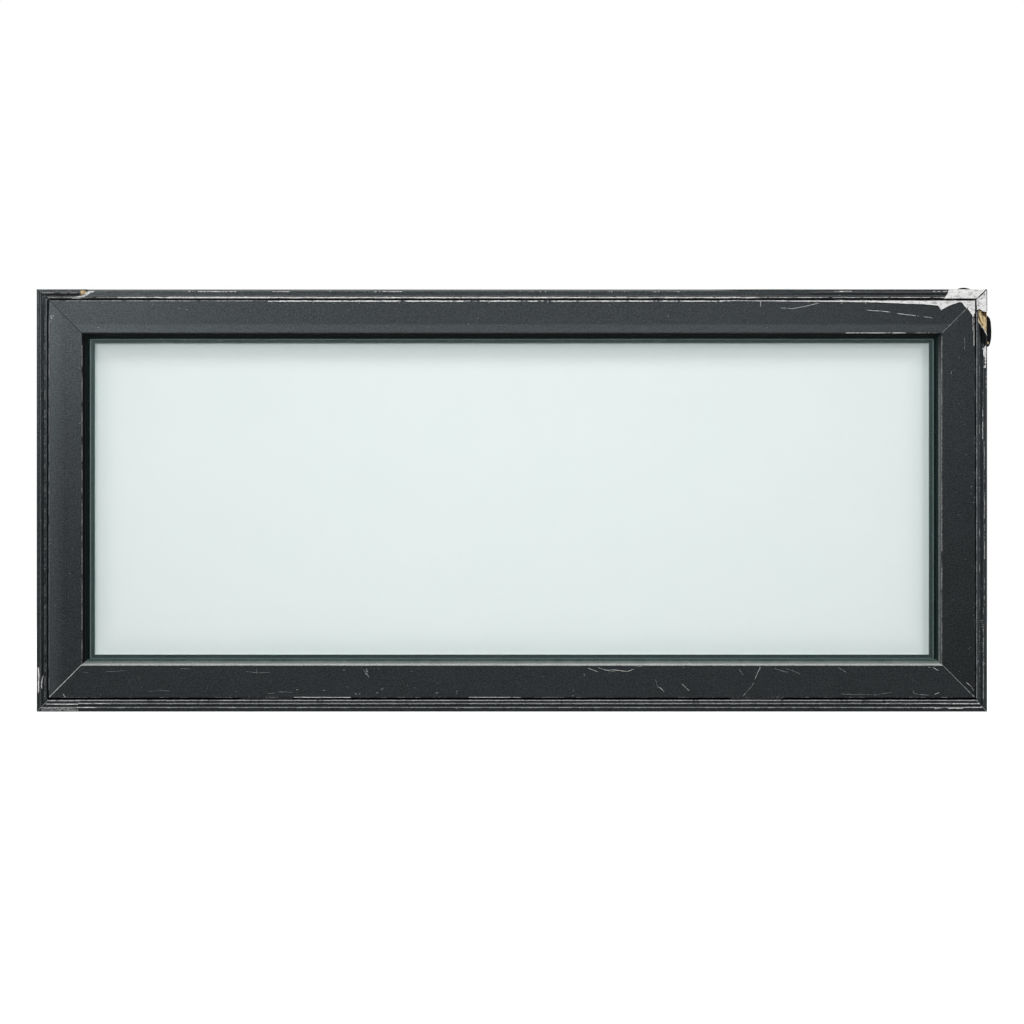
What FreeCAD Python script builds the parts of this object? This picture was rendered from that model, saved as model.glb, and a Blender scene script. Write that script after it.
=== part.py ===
"""Fixed picture window, in millimetres.

A mitred softwood sash carries a sealed double-glazed unit whose inner pane is obscure. The sash is fixed in
a moulded softwood frame. The front faces -Y, +X is to the right seen from the front and +Z is up. The origin
is the middle of the sill's flat underside.
"""

import os

import FreeCAD
import Part

# Overall size
OVERALL_WIDTH = 1828.8
OVERALL_HEIGHT = 812.8
FRAME_DEPTH = 116.0

# Front moulding of the frame, from its outer edge towards the sash
OUTER_FILLET = 4.5
OUTER_ROUND = 2.0
MOULDING_QUIRK = 1.1
BEAD_WIDTH = 5.0
BEAD_RISE = 2.3
GROOVE_WIDTH = 3.0
GROOVE_CUT = 3.7
RIDGE_WIDTH = 4.0
RIDGE_SETBACK = 1.0
RIDGE_RISE = 1.8
LANDING_STEP = 0.6
LANDING_ROUND = 0.6
HEAD_LANDING = 1.3
JAMB_LANDING = 4.2
SILL_LANDING = 6.6
BACK_ROUND = 2.0

# Gaps between sash and frame, and how far the frame's stop laps behind the sash
TOP_GAP = 2.4
SIDE_GAP = 2.0
BOTTOM_GAP = 3.5
STOP_LAP = 11.0
PERIMETER_SEAL_DEPTH = 8.0

# Sash section
SASH_FACE = 65.0
SASH_THICKNESS = 57.0
SASH_SETBACK = 3.0
SASH_OUTER_ROUND = 1.5
SASH_INNER_ROUND = 2.0
STICKING_WIDTH = 5.0
STICKING_SETBACK = 4.2
STICKING_QUIRK_WIDTH = 1.2
STICKING_QUIRK_DEPTH = 6.0
LIP_DEPTH = 9.5
LIP_EDGE = 1.5
GLASS_REBATE = 12.0

# Glazing
SIDE_CLEARANCE = 5.1
END_CLEARANCE = 1.5
TAPE_THICKNESS = 1.5
GASKET_SHOW = 4.0
GASKET_RISE = 0.8
GASKET_LIP = 0.4
PANE_THICKNESS = 5.0
CAVITY = 14.0
EDGE_SEAL_WIDTH = 14.0
SPACER_WIDTH = 8.6
REAR_TAPE_WIDTH = 8.0
GLAZING_STOP_WIDTH = 14.0
GLAZING_STOP_ROUND = 9.0

# Packers under the sash and setting blocks under the glass, each a pair
PACKER_LENGTH = 100.0
PACKER_SETBACK = 12.0
PACKER_DEPTH = 34.0
PACKER_FROM_END = 420.0
SETTING_BLOCK_LENGTH = 100.0

# Fixing holes through the jambs, behind the sash
FIXING_HOLE_DIAMETER = 5.0
COUNTERSINK_DIAMETER = 10.0
FIXING_HOLE_FROM_END = 150.0

# Damage: the head's outer bead is broken away to the bottom of its groove, between a short break and a long taper
HEAD_BREAK_FROM_LEFT = 90.0
HEAD_BREAK_LENGTH = 1440.0
HEAD_BREAK_SHORT_END = 10.0
HEAD_BREAK_LONG_END = 260.0
HEAD_BREAK_EDGE_WIDTH = 3.5
HEAD_BREAK_EDGE_FALL = 2.0

# Damage: a piece has split off the right jamb's outer front edge, as distances in from the edge and down from the top
SPLIT_DEPTH = 7.0
SPLIT_OUTLINE = [
    (0.0, 41.5),
    (17.2, 40.5),
    (17.2, 64.0),
    (13.0, 67.5),
    (11.0, 72.0),
    (7.3, 75.5),
    (4.6, 81.0),
    (2.0, 85.5),
    (0.0, 89.5),
]

# Damage: a splinter bows out from the right jamb's side, as distances out from the side and down from the top
SPLINTER_SETBACK = 3.0
SPLINTER_THICKNESS = 5.0
SPLINTER_OUTLINE = [
    (0.0, 50.0),
    (5.2, 55.0),
    (7.4, 63.0),
    (8.6, 79.5),
    (8.2, 95.0),
    (6.2, 104.0),
    (4.0, 109.5),
    (0.0, 111.0),
]

# Room that a cutting shape leaves beyond what it cuts
CUT_MARGIN = 1.0

# Derived places: u runs inward from a ring's outer edge, v runs back from the frame's foremost plane
FRONT = -FRAME_DEPTH / 2
MOULDING_WIDTH = OUTER_FILLET + BEAD_WIDTH + GROOVE_WIDTH + RIDGE_WIDTH
GROOVE_FLOOR = BEAD_RISE + GROOVE_CUT
HEAD_FACE = MOULDING_WIDTH + HEAD_LANDING
JAMB_FACE = MOULDING_WIDTH + JAMB_LANDING
SILL_FACE = MOULDING_WIDTH + SILL_LANDING
REBATE_DEPTH = SASH_SETBACK + SASH_THICKNESS
LIP_REACH = SASH_FACE + STICKING_WIDTH
REBATE_WALL = LIP_REACH - GLASS_REBATE
SIDE_GLASS_EDGE = REBATE_WALL + SIDE_CLEARANCE
END_GLASS_EDGE = REBATE_WALL + END_CLEARANCE
OUTER_PANE_FRONT = SASH_SETBACK + LIP_DEPTH + TAPE_THICKNESS
CAVITY_FRONT = OUTER_PANE_FRONT + PANE_THICKNESS
INNER_PANE_FRONT = CAVITY_FRONT + CAVITY
GLASS_BACK = INNER_PANE_FRONT + PANE_THICKNESS
GLAZING_STOP_FRONT = GLASS_BACK + TAPE_THICKNESS
UNIT_DEPTH = GLASS_BACK - OUTER_PANE_FRONT
SIDES = ("top", "bottom", "left", "right")


class Ring:
    """A rectangle seen from the front, by its outer edges."""

    def __init__(self, left, right, bottom, top):
        self.left = left
        self.right = right
        self.bottom = bottom
        self.top = top

    def inset(self, side, head, sill):
        """The ring moved in by its own amount at the sides, the head and the sill."""
        return Ring(self.left + side, self.right - side, self.bottom + sill, self.top - head)

    def place(self, side, u, v, along):
        """The point at u and v of one side's section, at a place along that side."""
        y = FRONT + v
        if side == "left":
            return FreeCAD.Vector(self.left + u, y, along)
        if side == "right":
            return FreeCAD.Vector(self.right - u, y, along)
        if side == "bottom":
            return FreeCAD.Vector(along, y, self.bottom + u)
        return FreeCAD.Vector(along, y, self.top - u)

    def run(self, side):
        """Where a side starts and ends along its own length."""
        if side in ("left", "right"):
            return self.bottom, self.top
        return self.left, self.right


FRAME_RING = Ring(-OVERALL_WIDTH / 2, OVERALL_WIDTH / 2, 0.0, OVERALL_HEIGHT)
REBATE_RING = FRAME_RING.inset(JAMB_FACE, HEAD_FACE, SILL_FACE)
SASH_RING = REBATE_RING.inset(SIDE_GAP, TOP_GAP, BOTTOM_GAP)
GLASS_RING = SASH_RING.inset(SIDE_GLASS_EDGE, END_GLASS_EDGE, END_GLASS_EDGE)


class Section:
    """A closed section in u and v, drawn from point to point for one side of a ring."""

    def __init__(self, ring, side, start):
        self.ring = ring
        self.side = side
        self.along = ring.run(side)[0]
        self.start = start
        self.last = start
        self.edges = []

    def point(self, spot):
        return self.ring.place(self.side, spot[0], spot[1], self.along)

    def line(self, *spots):
        for spot in spots:
            self.edges.append(Part.makeLine(self.point(self.last), self.point(spot)))
            self.last = spot
        return self

    def round(self, corner, end):
        """A quarter round from the last point to the end, around the sharp corner between them."""
        bend = 0.5523
        first = blend(self.last, corner, bend)
        second = blend(end, corner, bend)
        return self.curve(first, second, end)

    def crown(self, end, rise):
        """A bead from the last point to the end, standing forward by its rise."""
        reach = rise * 4 / 3
        first = (self.last[0], self.last[1] - reach)
        second = (end[0], end[1] - reach)
        return self.curve(first, second, end)

    def curve(self, first, second, end):
        bezier = Part.BezierCurve()
        bezier.setPoles([self.point(spot) for spot in (self.last, first, second, end)])
        self.edges.append(bezier.toShape())
        self.last = end
        return self

    def solid(self):
        """The section run along the whole side."""
        self.line(self.start)
        begin, finish = self.ring.run(self.side)
        way = FreeCAD.Vector(0, 0, 1) if self.side in ("left", "right") else FreeCAD.Vector(1, 0, 0)
        return Part.Face(Part.Wire(self.edges)).extrude(way * (finish - begin))


def blend(start, end, share):
    return tuple(a + (b - a) * share for a, b in zip(start, end))


def prism(points, way):
    """A closed outline pushed along a vector."""
    return Part.Face(Part.makePolygon(points + points[:1])).extrude(way)


def mitre(ring, side, head_steps, sill_steps):
    """What one side keeps between its two mitres.

    The steps are distances in from the outer corner, across and then down or up, at the head and at the sill.
    """
    bottom_left = [(ring.left + across, ring.bottom + up) for across, up in sill_steps]
    bottom_right = [(ring.right - across, ring.bottom + up) for across, up in sill_steps]
    top_left = [(ring.left + across, ring.top - down) for across, down in head_steps]
    top_right = [(ring.right - across, ring.top - down) for across, down in head_steps]
    ends = {
        "left": (bottom_left, top_left),
        "right": (bottom_right, top_right),
        "bottom": (bottom_left, bottom_right),
        "top": (top_left, top_right),
    }
    begin, finish = ends[side]
    front = FRONT - CUT_MARGIN
    points = [FreeCAD.Vector(x, front, z) for x, z in begin + finish[::-1]]
    return prism(points, FreeCAD.Vector(0, FRAME_DEPTH + 2 * CUT_MARGIN, 0))


def even_mitre(ring, side, reach):
    steps = [(0, 0), (reach, reach)]
    return mitre(ring, side, steps, steps)


def strip(ring, side, near, far, front, back):
    """A plain mitred strip between two distances in from the ring's edge and two depths."""
    inner = ring.inset(near, near, near)
    width = far - near
    section = Section(inner, side, (0, front)).line((width, front), (width, back), (0, back))
    return section.solid().common(even_mitre(inner, side, width))


def frame_section(side, face, gap):
    bead = OUTER_FILLET + BEAD_WIDTH
    groove = bead + GROOVE_WIDTH
    fillet_front = BEAD_RISE - MOULDING_QUIRK
    ridge_foot = RIDGE_SETBACK + RIDGE_RISE
    landing = ridge_foot + LANDING_STEP
    reach = face + gap + STOP_LAP
    section = Section(FRAME_RING, side, (0, FRAME_DEPTH))
    section.line((0, fillet_front + OUTER_ROUND))
    section.round((0, fillet_front), (OUTER_ROUND, fillet_front))
    section.line((OUTER_FILLET, fillet_front), (OUTER_FILLET, BEAD_RISE))
    section.crown((bead, BEAD_RISE), BEAD_RISE)
    section.line((bead, GROOVE_FLOOR), (groove, GROOVE_FLOOR), (groove, ridge_foot))
    section.crown((MOULDING_WIDTH, ridge_foot), RIDGE_RISE)
    section.line((MOULDING_WIDTH, landing), (face - LANDING_ROUND, landing))
    section.round((face, landing), (face, landing + LANDING_ROUND))
    section.line((face, REBATE_DEPTH), (reach, REBATE_DEPTH), (reach, FRAME_DEPTH - BACK_ROUND))
    section.round((reach, FRAME_DEPTH), (reach - BACK_ROUND, FRAME_DEPTH))
    return section.solid()


def frame_member(side):
    face = {"top": HEAD_FACE, "bottom": SILL_FACE}.get(side, JAMB_FACE)
    gap = {"top": TOP_GAP, "bottom": BOTTOM_GAP}.get(side, SIDE_GAP)
    stop_across = JAMB_FACE + SIDE_GAP + STOP_LAP
    moulding = [(0, 0), (MOULDING_WIDTH, MOULDING_WIDTH)]
    head_steps = moulding + [(JAMB_FACE, HEAD_FACE), (stop_across, HEAD_FACE + TOP_GAP + STOP_LAP)]
    sill_steps = moulding + [(JAMB_FACE, SILL_FACE), (stop_across, SILL_FACE + BOTTOM_GAP + STOP_LAP)]
    return frame_section(side, face, gap).common(mitre(FRAME_RING, side, head_steps, sill_steps))


def fixing_hole(side, height):
    """A screw hole through a jamb, countersunk on its inner side."""
    reach = JAMB_FACE + SIDE_GAP + STOP_LAP
    depth = (REBATE_DEPTH + FRAME_DEPTH) / 2
    sink = (COUNTERSINK_DIAMETER - FIXING_HOLE_DIAMETER) / 2
    start = FRAME_RING.place(side, -CUT_MARGIN, depth, height)
    inner = FRAME_RING.place(side, reach, depth, height)
    way = (inner - start).normalize()
    hole = Part.makeCylinder(FIXING_HOLE_DIAMETER / 2, reach + 2 * CUT_MARGIN, start, way)
    cone_foot = inner - way * sink
    wide = COUNTERSINK_DIAMETER / 2 + CUT_MARGIN
    cone = Part.makeCone(FIXING_HOLE_DIAMETER / 2, wide, sink + CUT_MARGIN, cone_foot, way)
    return hole.fuse(cone)


def jamb(side):
    member = frame_member(side)
    for height in (FIXING_HOLE_FROM_END, OVERALL_HEIGHT - FIXING_HOLE_FROM_END):
        member = member.cut(fixing_hole(side, height))
    return member


def head_break():
    """The broken-away outer bead of the head, with its top edge worn to a slope."""
    left = FRAME_RING.left + HEAD_BREAK_FROM_LEFT
    right = left + HEAD_BREAK_LENGTH
    inner = OUTER_FILLET + BEAD_WIDTH + GROOVE_WIDTH
    slope = HEAD_BREAK_EDGE_FALL / HEAD_BREAK_EDGE_WIDTH
    outside = -CUT_MARGIN
    section = [
        (outside, outside),
        (outside, GROOVE_FLOOR + HEAD_BREAK_EDGE_FALL + slope * CUT_MARGIN),
        (HEAD_BREAK_EDGE_WIDTH, GROOVE_FLOOR),
        (inner, GROOVE_FLOOR),
        (inner, outside),
    ]
    run = prism(
        [FRAME_RING.place("top", u, v, left) for u, v in section],
        FreeCAD.Vector(HEAD_BREAK_LENGTH, 0, 0),
    )
    deepest = GROOVE_FLOOR + HEAD_BREAK_EDGE_FALL + 2 * slope * CUT_MARGIN
    ends = [
        (left, outside),
        (left + HEAD_BREAK_SHORT_END, deepest),
        (right - HEAD_BREAK_LONG_END, deepest),
        (right, outside),
    ]
    taper = prism(
        [FRAME_RING.place("top", -2 * CUT_MARGIN, v, along) for along, v in ends],
        FreeCAD.Vector(0, 0, -(inner + 4 * CUT_MARGIN)),
    )
    return run.common(taper)


def jamb_split():
    """The piece that has split off the right jamb's outer front edge."""
    (first_in, first_down), (last_in, last_down) = SPLIT_OUTLINE[0], SPLIT_OUTLINE[-1]
    outline = [(first_in - CUT_MARGIN, first_down)] + SPLIT_OUTLINE + [(last_in - CUT_MARGIN, last_down)]
    points = [FRAME_RING.place("right", u, -CUT_MARGIN, OVERALL_HEIGHT - down) for u, down in outline]
    return prism(points, FreeCAD.Vector(0, SPLIT_DEPTH + CUT_MARGIN, 0))


def splinter():
    points = [
        FRAME_RING.place("right", -out, SPLINTER_SETBACK, OVERALL_HEIGHT - down) for out, down in SPLINTER_OUTLINE
    ]
    return prism(points, FreeCAD.Vector(0, SPLINTER_THICKNESS, 0))


def sash_member(side):
    quirk = SASH_FACE + STICKING_QUIRK_WIDTH
    face = SASH_SETBACK
    lip = face + LIP_DEPTH
    section = Section(SASH_RING, side, (0, REBATE_DEPTH))
    section.line((0, face + SASH_OUTER_ROUND))
    section.round((0, face), (SASH_OUTER_ROUND, face))
    section.line((SASH_FACE - SASH_INNER_ROUND, face))
    section.round((SASH_FACE, face), (SASH_FACE, face + SASH_INNER_ROUND))
    section.line((SASH_FACE, face + STICKING_QUIRK_DEPTH), (quirk, face + STICKING_QUIRK_DEPTH))
    section.line((quirk, face + STICKING_SETBACK), (LIP_REACH, lip - LIP_EDGE), (LIP_REACH, lip))
    section.line((REBATE_WALL, lip), (REBATE_WALL, REBATE_DEPTH))
    return section.solid().common(even_mitre(SASH_RING, side, LIP_REACH))


def front_gasket(side):
    """The seal between the sash's lip and the glass, with a wedge that shows beyond the lip."""
    lip = SASH_SETBACK + LIP_DEPTH
    shows = LIP_REACH + GASKET_SHOW
    glass_edge = SIDE_GLASS_EDGE if side in ("left", "right") else END_GLASS_EDGE
    section = Section(SASH_RING, side, (glass_edge, lip))
    section.line((LIP_REACH, lip), (LIP_REACH, lip - GASKET_RISE), (shows, OUTER_PANE_FRONT - GASKET_LIP))
    section.line((shows, OUTER_PANE_FRONT), (glass_edge, OUTER_PANE_FRONT))
    return section.solid().common(even_mitre(SASH_RING, side, shows))


def glazing_stop(side):
    """The rounded strip that holds the glass in from behind."""
    inner = REBATE_WALL + GLAZING_STOP_WIDTH
    section = Section(SASH_RING, side, (REBATE_WALL, GLAZING_STOP_FRONT))
    section.line((inner, GLAZING_STOP_FRONT), (inner, REBATE_DEPTH - GLAZING_STOP_ROUND))
    section.round((inner, REBATE_DEPTH), (inner - GLAZING_STOP_ROUND, REBATE_DEPTH))
    section.line((REBATE_WALL, REBATE_DEPTH))
    return section.solid().common(even_mitre(SASH_RING, side, inner))


def perimeter_seal(side):
    """The strip that closes the gap around the sash, against the frame's stop."""
    gap = {"top": TOP_GAP, "bottom": BOTTOM_GAP}.get(side, SIDE_GAP)
    front = REBATE_DEPTH - PERIMETER_SEAL_DEPTH
    section = Section(REBATE_RING, side, (0, front)).line((gap, front), (gap, REBATE_DEPTH), (0, REBATE_DEPTH))
    head_steps = [(0, 0), (SIDE_GAP, TOP_GAP)]
    sill_steps = [(0, 0), (SIDE_GAP, BOTTOM_GAP)]
    return section.solid().common(mitre(REBATE_RING, side, head_steps, sill_steps))


def pane(front):
    corner = GLASS_RING.place("left", 0, front, GLASS_RING.bottom)
    width = GLASS_RING.right - GLASS_RING.left
    height = GLASS_RING.top - GLASS_RING.bottom
    return Part.makeBox(width, PANE_THICKNESS, height, corner)


def block_pair(length, depth, height, from_end, front, bottom):
    """Two like blocks, as far from the sash's two ends."""
    blocks = []
    for middle in (SASH_RING.left + from_end, SASH_RING.right - from_end):
        corner = FreeCAD.Vector(middle - length / 2, FRONT + front, bottom)
        blocks.append(Part.makeBox(length, depth, height, corner))
    return Part.makeCompound(blocks)


def sash_packers():
    return block_pair(
        PACKER_LENGTH, PACKER_DEPTH, BOTTOM_GAP, PACKER_FROM_END, PACKER_SETBACK, REBATE_RING.bottom
    )


def setting_blocks():
    bottom = SASH_RING.bottom + REBATE_WALL
    return block_pair(
        SETTING_BLOCK_LENGTH, UNIT_DEPTH, END_CLEARANCE, PACKER_FROM_END, OUTER_PANE_FRONT, bottom
    )


def build():
    """Every node's name and shape."""
    nodes = {
        "frame_head": frame_member("top").cut(head_break()),
        "frame_sill": frame_member("bottom"),
        "frame_left_jamb": jamb("left"),
        "frame_right_jamb": jamb("right").cut(jamb_split()),
        "lifted_splinter": splinter(),
        "sash_top_rail": sash_member("top"),
        "sash_bottom_rail": sash_member("bottom"),
        "sash_left_stile": sash_member("left"),
        "sash_right_stile": sash_member("right"),
        "outer_pane": pane(OUTER_PANE_FRONT),
        "inner_pane": pane(INNER_PANE_FRONT),
        "sash_packers": sash_packers(),
        "setting_blocks": setting_blocks(),
    }
    spacer_inner = EDGE_SEAL_WIDTH + SPACER_WIDTH
    for side in SIDES:
        nodes["front_gasket_" + side] = front_gasket(side)
        nodes["rear_tape_" + side] = strip(GLASS_RING, side, 0, REAR_TAPE_WIDTH, GLASS_BACK, GLAZING_STOP_FRONT)
        nodes["glazing_stop_" + side] = glazing_stop(side)
        nodes["edge_seal_" + side] = strip(GLASS_RING, side, 0, EDGE_SEAL_WIDTH, CAVITY_FRONT, INNER_PANE_FRONT)
        nodes["spacer_" + side] = strip(
            GLASS_RING, side, EDGE_SEAL_WIDTH, spacer_inner, CAVITY_FRONT, INNER_PANE_FRONT
        )
        nodes["perimeter_seal_" + side] = perimeter_seal(side)
    return nodes


os.makedirs("parts", exist_ok=True)
for name, shape in build().items():
    shape.exportStep("parts/" + name + ".step")
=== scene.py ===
"""Looks of the fixed picture window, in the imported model's own frame.

The front faces -Y, +X is to the right seen from the front and +Z is up. Sizes are written in millimetres
and repeat those of the solids, so that chips, scratches and worn edges lie on the surfaces that carry
them. Places of marks are written in pixels of the photo, which was taken straight on. Meshes, lamps and
the camera are in metres.
"""

import math

import bmesh
import bpy
import numpy as np
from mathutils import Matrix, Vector, noise


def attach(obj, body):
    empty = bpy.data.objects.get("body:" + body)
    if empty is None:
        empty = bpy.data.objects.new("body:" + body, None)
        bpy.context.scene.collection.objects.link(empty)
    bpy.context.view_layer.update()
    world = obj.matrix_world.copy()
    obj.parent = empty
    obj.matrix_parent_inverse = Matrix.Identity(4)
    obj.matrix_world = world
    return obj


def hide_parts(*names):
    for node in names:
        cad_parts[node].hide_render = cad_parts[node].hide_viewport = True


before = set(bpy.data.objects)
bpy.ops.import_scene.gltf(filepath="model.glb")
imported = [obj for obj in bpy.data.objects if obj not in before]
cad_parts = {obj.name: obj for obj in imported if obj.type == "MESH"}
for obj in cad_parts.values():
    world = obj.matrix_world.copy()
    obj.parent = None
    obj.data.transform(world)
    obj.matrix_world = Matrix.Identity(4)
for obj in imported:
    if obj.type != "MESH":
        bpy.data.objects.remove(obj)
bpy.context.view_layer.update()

MM = 0.001

# The window's outside and its foremost plane
WIDTH = 1828.8
HEIGHT = 812.8
FRONT = -58.0

# The frame's moulding: distances in from the outer edge, and depths behind the foremost plane
OUTER_ROUND = 2.0
FILLET_END = 4.5
FILLET_DEPTH = 1.2
BEAD_END = 9.5
BEAD_FOOT = 2.3
GROOVE_END = 12.5
GROOVE_DEPTH = 6.0
RIDGE_END = 16.5
RIDGE_FOOT = 2.8
RIDGE_RISE = 1.8
LANDING_DEPTH = 3.4
HEAD_FACE = 17.8

# The head's broken bead: where it starts and ends, its two tapered ends and its sloped top edge
BREAK_LEFT = -824.4
BREAK_RIGHT = 615.6
BREAK_SHORT_END = 10.0
BREAK_LONG_END = 260.0
BREAK_EDGE = 3.5
BREAK_FALL = 2.0
BREAK_TAPER_START = -1.0
BREAK_TAPER_END = 9.1

# The sash: its outer edges, its front, its rounds and the edge of its flat face
SASH_SIDE = 891.7
SASH_BOTTOM = 26.6
SASH_TOP = 792.6
SASH_DEPTH = 3.0
SASH_OUTER_ROUND = 1.5
SASH_FACE = 65.0
SASH_INNER_ROUND = 2.0

# The split in the right jamb and the splinter beside it, as distances in or out and down from the top; the
# splinter's front slopes back to its root inside the jamb
SPLIT_DEPTH = 7.0
SPLIT_OUTLINE = [
    (0.3, 42.0), (16.9, 41.0), (16.9, 63.7), (12.7, 67.2), (10.7, 71.6), (7.0, 75.1), (4.3, 80.6),
    (1.7, 85.1), (0.3, 88.5),
]
SPLINTER_DEPTH = 3.0
SPLINTER_THICKNESS = 5.0
SPLINTER_SLOPE = 1.0
SPLINTER_ROOT = 0.6
SPLINTER_STEP = 1.0
SPLINTER_OUTLINE = [
    (0.0, 50.0), (5.2, 55.0), (7.4, 63.0), (8.6, 79.5), (8.2, 95.0), (6.2, 104.0), (4.0, 109.5),
    (0.0, 111.0),
]

# The torn wood in the split: its mean depth, and a hollow's depth, reach and place
TORN_DEPTH = 4.3
HOLLOW_DEPTH = 2.2
HOLLOW_REACH = 4.0
HOLLOW_INWARD = 4.5
HOLLOW_DOWN = 46.0

# The thick undercoat at the top right corner: just proud of the moulding, deep at its edges, and a
# little in from the window's outer edges
FILLED_DEPTH = -0.25
FILLED_FOOT = 7.0
EDGE_INSET = 0.15

# How far the torn wood's fibres lean over, in radians
WOOD_LEAN = 0.4

# The spacer bar's outer edges, as distances from the middle of the glass, its width, where its sides
# stop being dark, from front to back, and the height of the middle of the glass
SPACER_REACH_X = 814.6
SPACER_REACH_Z = 309.5
SPACER_WIDTH = 8.6
SPACER_DARK_END = -30.6
GLASS_MIDDLE_Z = 409.6

# Where the photo shows the window: scale, middle and foot, in pixels of its 1024 frame
PIXEL = 1.923
PHOTO_MIDDLE_X = 511.9
PHOTO_FOOT_Y = 711.8
PHOTO_SIZE = 1024

# Marks on the paint: their thickness, how far their edges sink in, and the level share of their width
MARK_LIFT = 0.14
MARK_SINK = 0.05
MARK_LEVEL = 0.6

# The steps at which marks and worn edges are worked, and the pressure or wear below which they break off
MARK_STEP = 1.2
WEAR_STEP = 0.9
SCRATCH_BREAK = 0.55
WEAR_BREAK = 0.18

# Mitre lines: how far they run in on the sash, their step on the frame, and their thickness
MITRE_REACH = 64.5
FRAME_MITRE_STEP = 0.4
MITRE_LIFT = 0.08

# Fine specks on the sash: how many, and how far they stay from its edges
SPECK_COUNT = 300
SPECK_MARGIN = 3.0

# Camera and floor, in metres apart from the sensor
CAMERA_DISTANCE = 5.0
SENSOR_WIDTH = 36.0
FLOOR_REACH = 30.0

# How strongly the world fills the scene and how strongly it shows, the grey of the floor where it fills the
# scene, and its glow where it shows
WORLD_FILL = 0.3
WORLD_SHOWN = 1.0
FLOOR_FILL = 0.42
FLOOR_GLOW = 0.86

# Softboxes: name, place, what they point at, width and height, all in metres, and power in watts
WINDOW_MIDDLE = (0.0, 0.0, 0.45)
SOFTBOXES = [
    ("front_strip", (0.08, -3.0, 0.93), WINDOW_MIDDLE, (2.34, 0.30), 18.2),
    ("key", (-1.58, -3.0, 1.18), WINDOW_MIDDLE, (0.88, 0.30), 24.3),
    ("overhead", (0.0, -0.98, 2.4), (0.0, 0.0, 0.2), (2.8, 0.45), 24.0),
    ("right_fill", (2.9, -2.6, 2.4), WINDOW_MIDDLE, (1.2, 1.2), 39.0),
    ("back_fill", (0.6, 3.4, 2.2), WINDOW_MIDDLE, (2.4, 1.0), 85.0),
]

# Rows of the photo, lower and upper, between which the painted light on the right stile's bevel fades out
# as painted shade under the head, its gloss comes back after the painted shade at its foot, and the inner
# pane's painted shade at its edges gets stronger, and heights in metres between which that pane gets
# dimmer, as painted shade towards its top
HEAD_SHADE_ROWS = (390, 340)
FOOT_SHADE_ROWS = (690, 430)
PANE_EDGE_SHADE_ROWS = (655, 610)
PANE_SHADE_FADE = (0.2, 0.68)

# How far the painted shade at the inner pane's edges reaches in from the spacer bar
PANE_EDGE_SHADE_REACH = 50.0

# The left, right, bottom and top edges of frame and sash, and the names of their sides
RINGS = {
    "frame": (-WIDTH / 2, WIDTH / 2, 0.0, HEIGHT),
    "sash": (-SASH_SIDE, SASH_SIDE, SASH_BOTTOM, SASH_TOP),
}
HEAD = ("frame", "top")
SILL = ("frame", "bottom")
LEFT_JAMB = ("frame", "left")
RIGHT_JAMB = ("frame", "right")
TOP_RAIL = ("sash", "top")
BOTTOM_RAIL = ("sash", "bottom")
LEFT_STILE = ("sash", "left")
RIGHT_STILE = ("sash", "right")

# Worn edges: the edge, the distance in from it, half the width, where it starts and ends in the photo, and
# the cover
RIDGE_WEAR = 16.0
LANDING_WEAR = 17.2
THICK_WHITE = [
    (HEAD, RIDGE_WEAR, 1.05, 118, 166, 1.0),
    (HEAD, RIDGE_WEAR, 1.35, 166, 271, 1.1),
    (HEAD, RIDGE_WEAR, 1.05, 271, 560, 1.1),
    (HEAD, RIDGE_WEAR, 1.0, 560, 760, 1.0),
    (HEAD, RIDGE_WEAR, 0.8, 760, 945, 0.7),
    (BOTTOM_RAIL, 0.9, 0.75, 294, 351, 1.1),
    (BOTTOM_RAIL, 1.0, 0.65, 469, 521, 0.85),
    (BOTTOM_RAIL, 1.2, 0.6, 892, 906, 0.6),
]
WORN_WHITE = [
    (HEAD, LANDING_WEAR, 0.5, 166, 271, 0.95),
    (HEAD, LANDING_WEAR, 0.5, 271, 560, 0.85),
    (HEAD, LANDING_WEAR, 0.45, 560, 760, 0.7),
    (HEAD, 4.2, 1.0, 188, 236, 0.75),
    (HEAD, 4.2, 0.9, 272, 292, 0.7),
    (HEAD, 4.2, 0.8, 360, 402, 0.6),
    (HEAD, 4.4, 0.8, 520, 680, 0.42),
    (HEAD, 4.2, 0.9, 827, 852, 0.75),
    (HEAD, 4.2, 0.8, 932, 948, 0.6),
    (TOP_RAIL, 2.5, 0.8, 200, 272, 0.45),
    (TOP_RAIL, 2.6, 1.4, 268, 420, 0.9),
    (TOP_RAIL, 2.6, 1.3, 420, 560, 0.8),
    (TOP_RAIL, 2.6, 1.3, 560, 730, 0.8),
    (TOP_RAIL, 63.8, 0.9, 846, 906, 0.75),
    (RIGHT_STILE, 2.6, 0.6, 317, 346, 0.75),
    (RIGHT_JAMB, 9.0, 0.6, 392, 439, 0.6),
    (RIGHT_JAMB, 5.2, 0.7, 499, 512, 0.75),
    (RIGHT_JAMB, 5.2, 0.7, 523, 559, 0.6),
    (RIGHT_JAMB, 2.0, 0.7, 372, 396, 0.35),
    (SILL, 14.2, 1.1, 46, 78, 1.0),
    (SILL, 15.9, 0.8, 78, 110, 0.75),
    (SILL, 15.9, 0.7, 880, 953, 0.55),
    (SILL, 15.4, 1.1, 953, 980, 0.85),
    (SILL, 15.2, 1.2, 903, 923, 0.5),
    (SILL, 8.2, 0.9, 77, 97, 0.9),
    (SILL, 7.9, 0.9, 915, 934, 0.55),
    (SILL, 7.2, 1.0, 934, 942, 0.8),
    (SILL, 6.9, 1.3, 948, 963, 1.0),
    (SILL, 8.4, 1.1, 963, 982, 0.8),
]
WORN_PALE = [
    (SILL, 21.7, 0.9, 80, 978, 1.0),
    (SILL, 21.2, 1.3, 47, 80, 1.0),
    (HEAD, 15.9, 0.9, 48, 120, 0.85),
]
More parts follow.
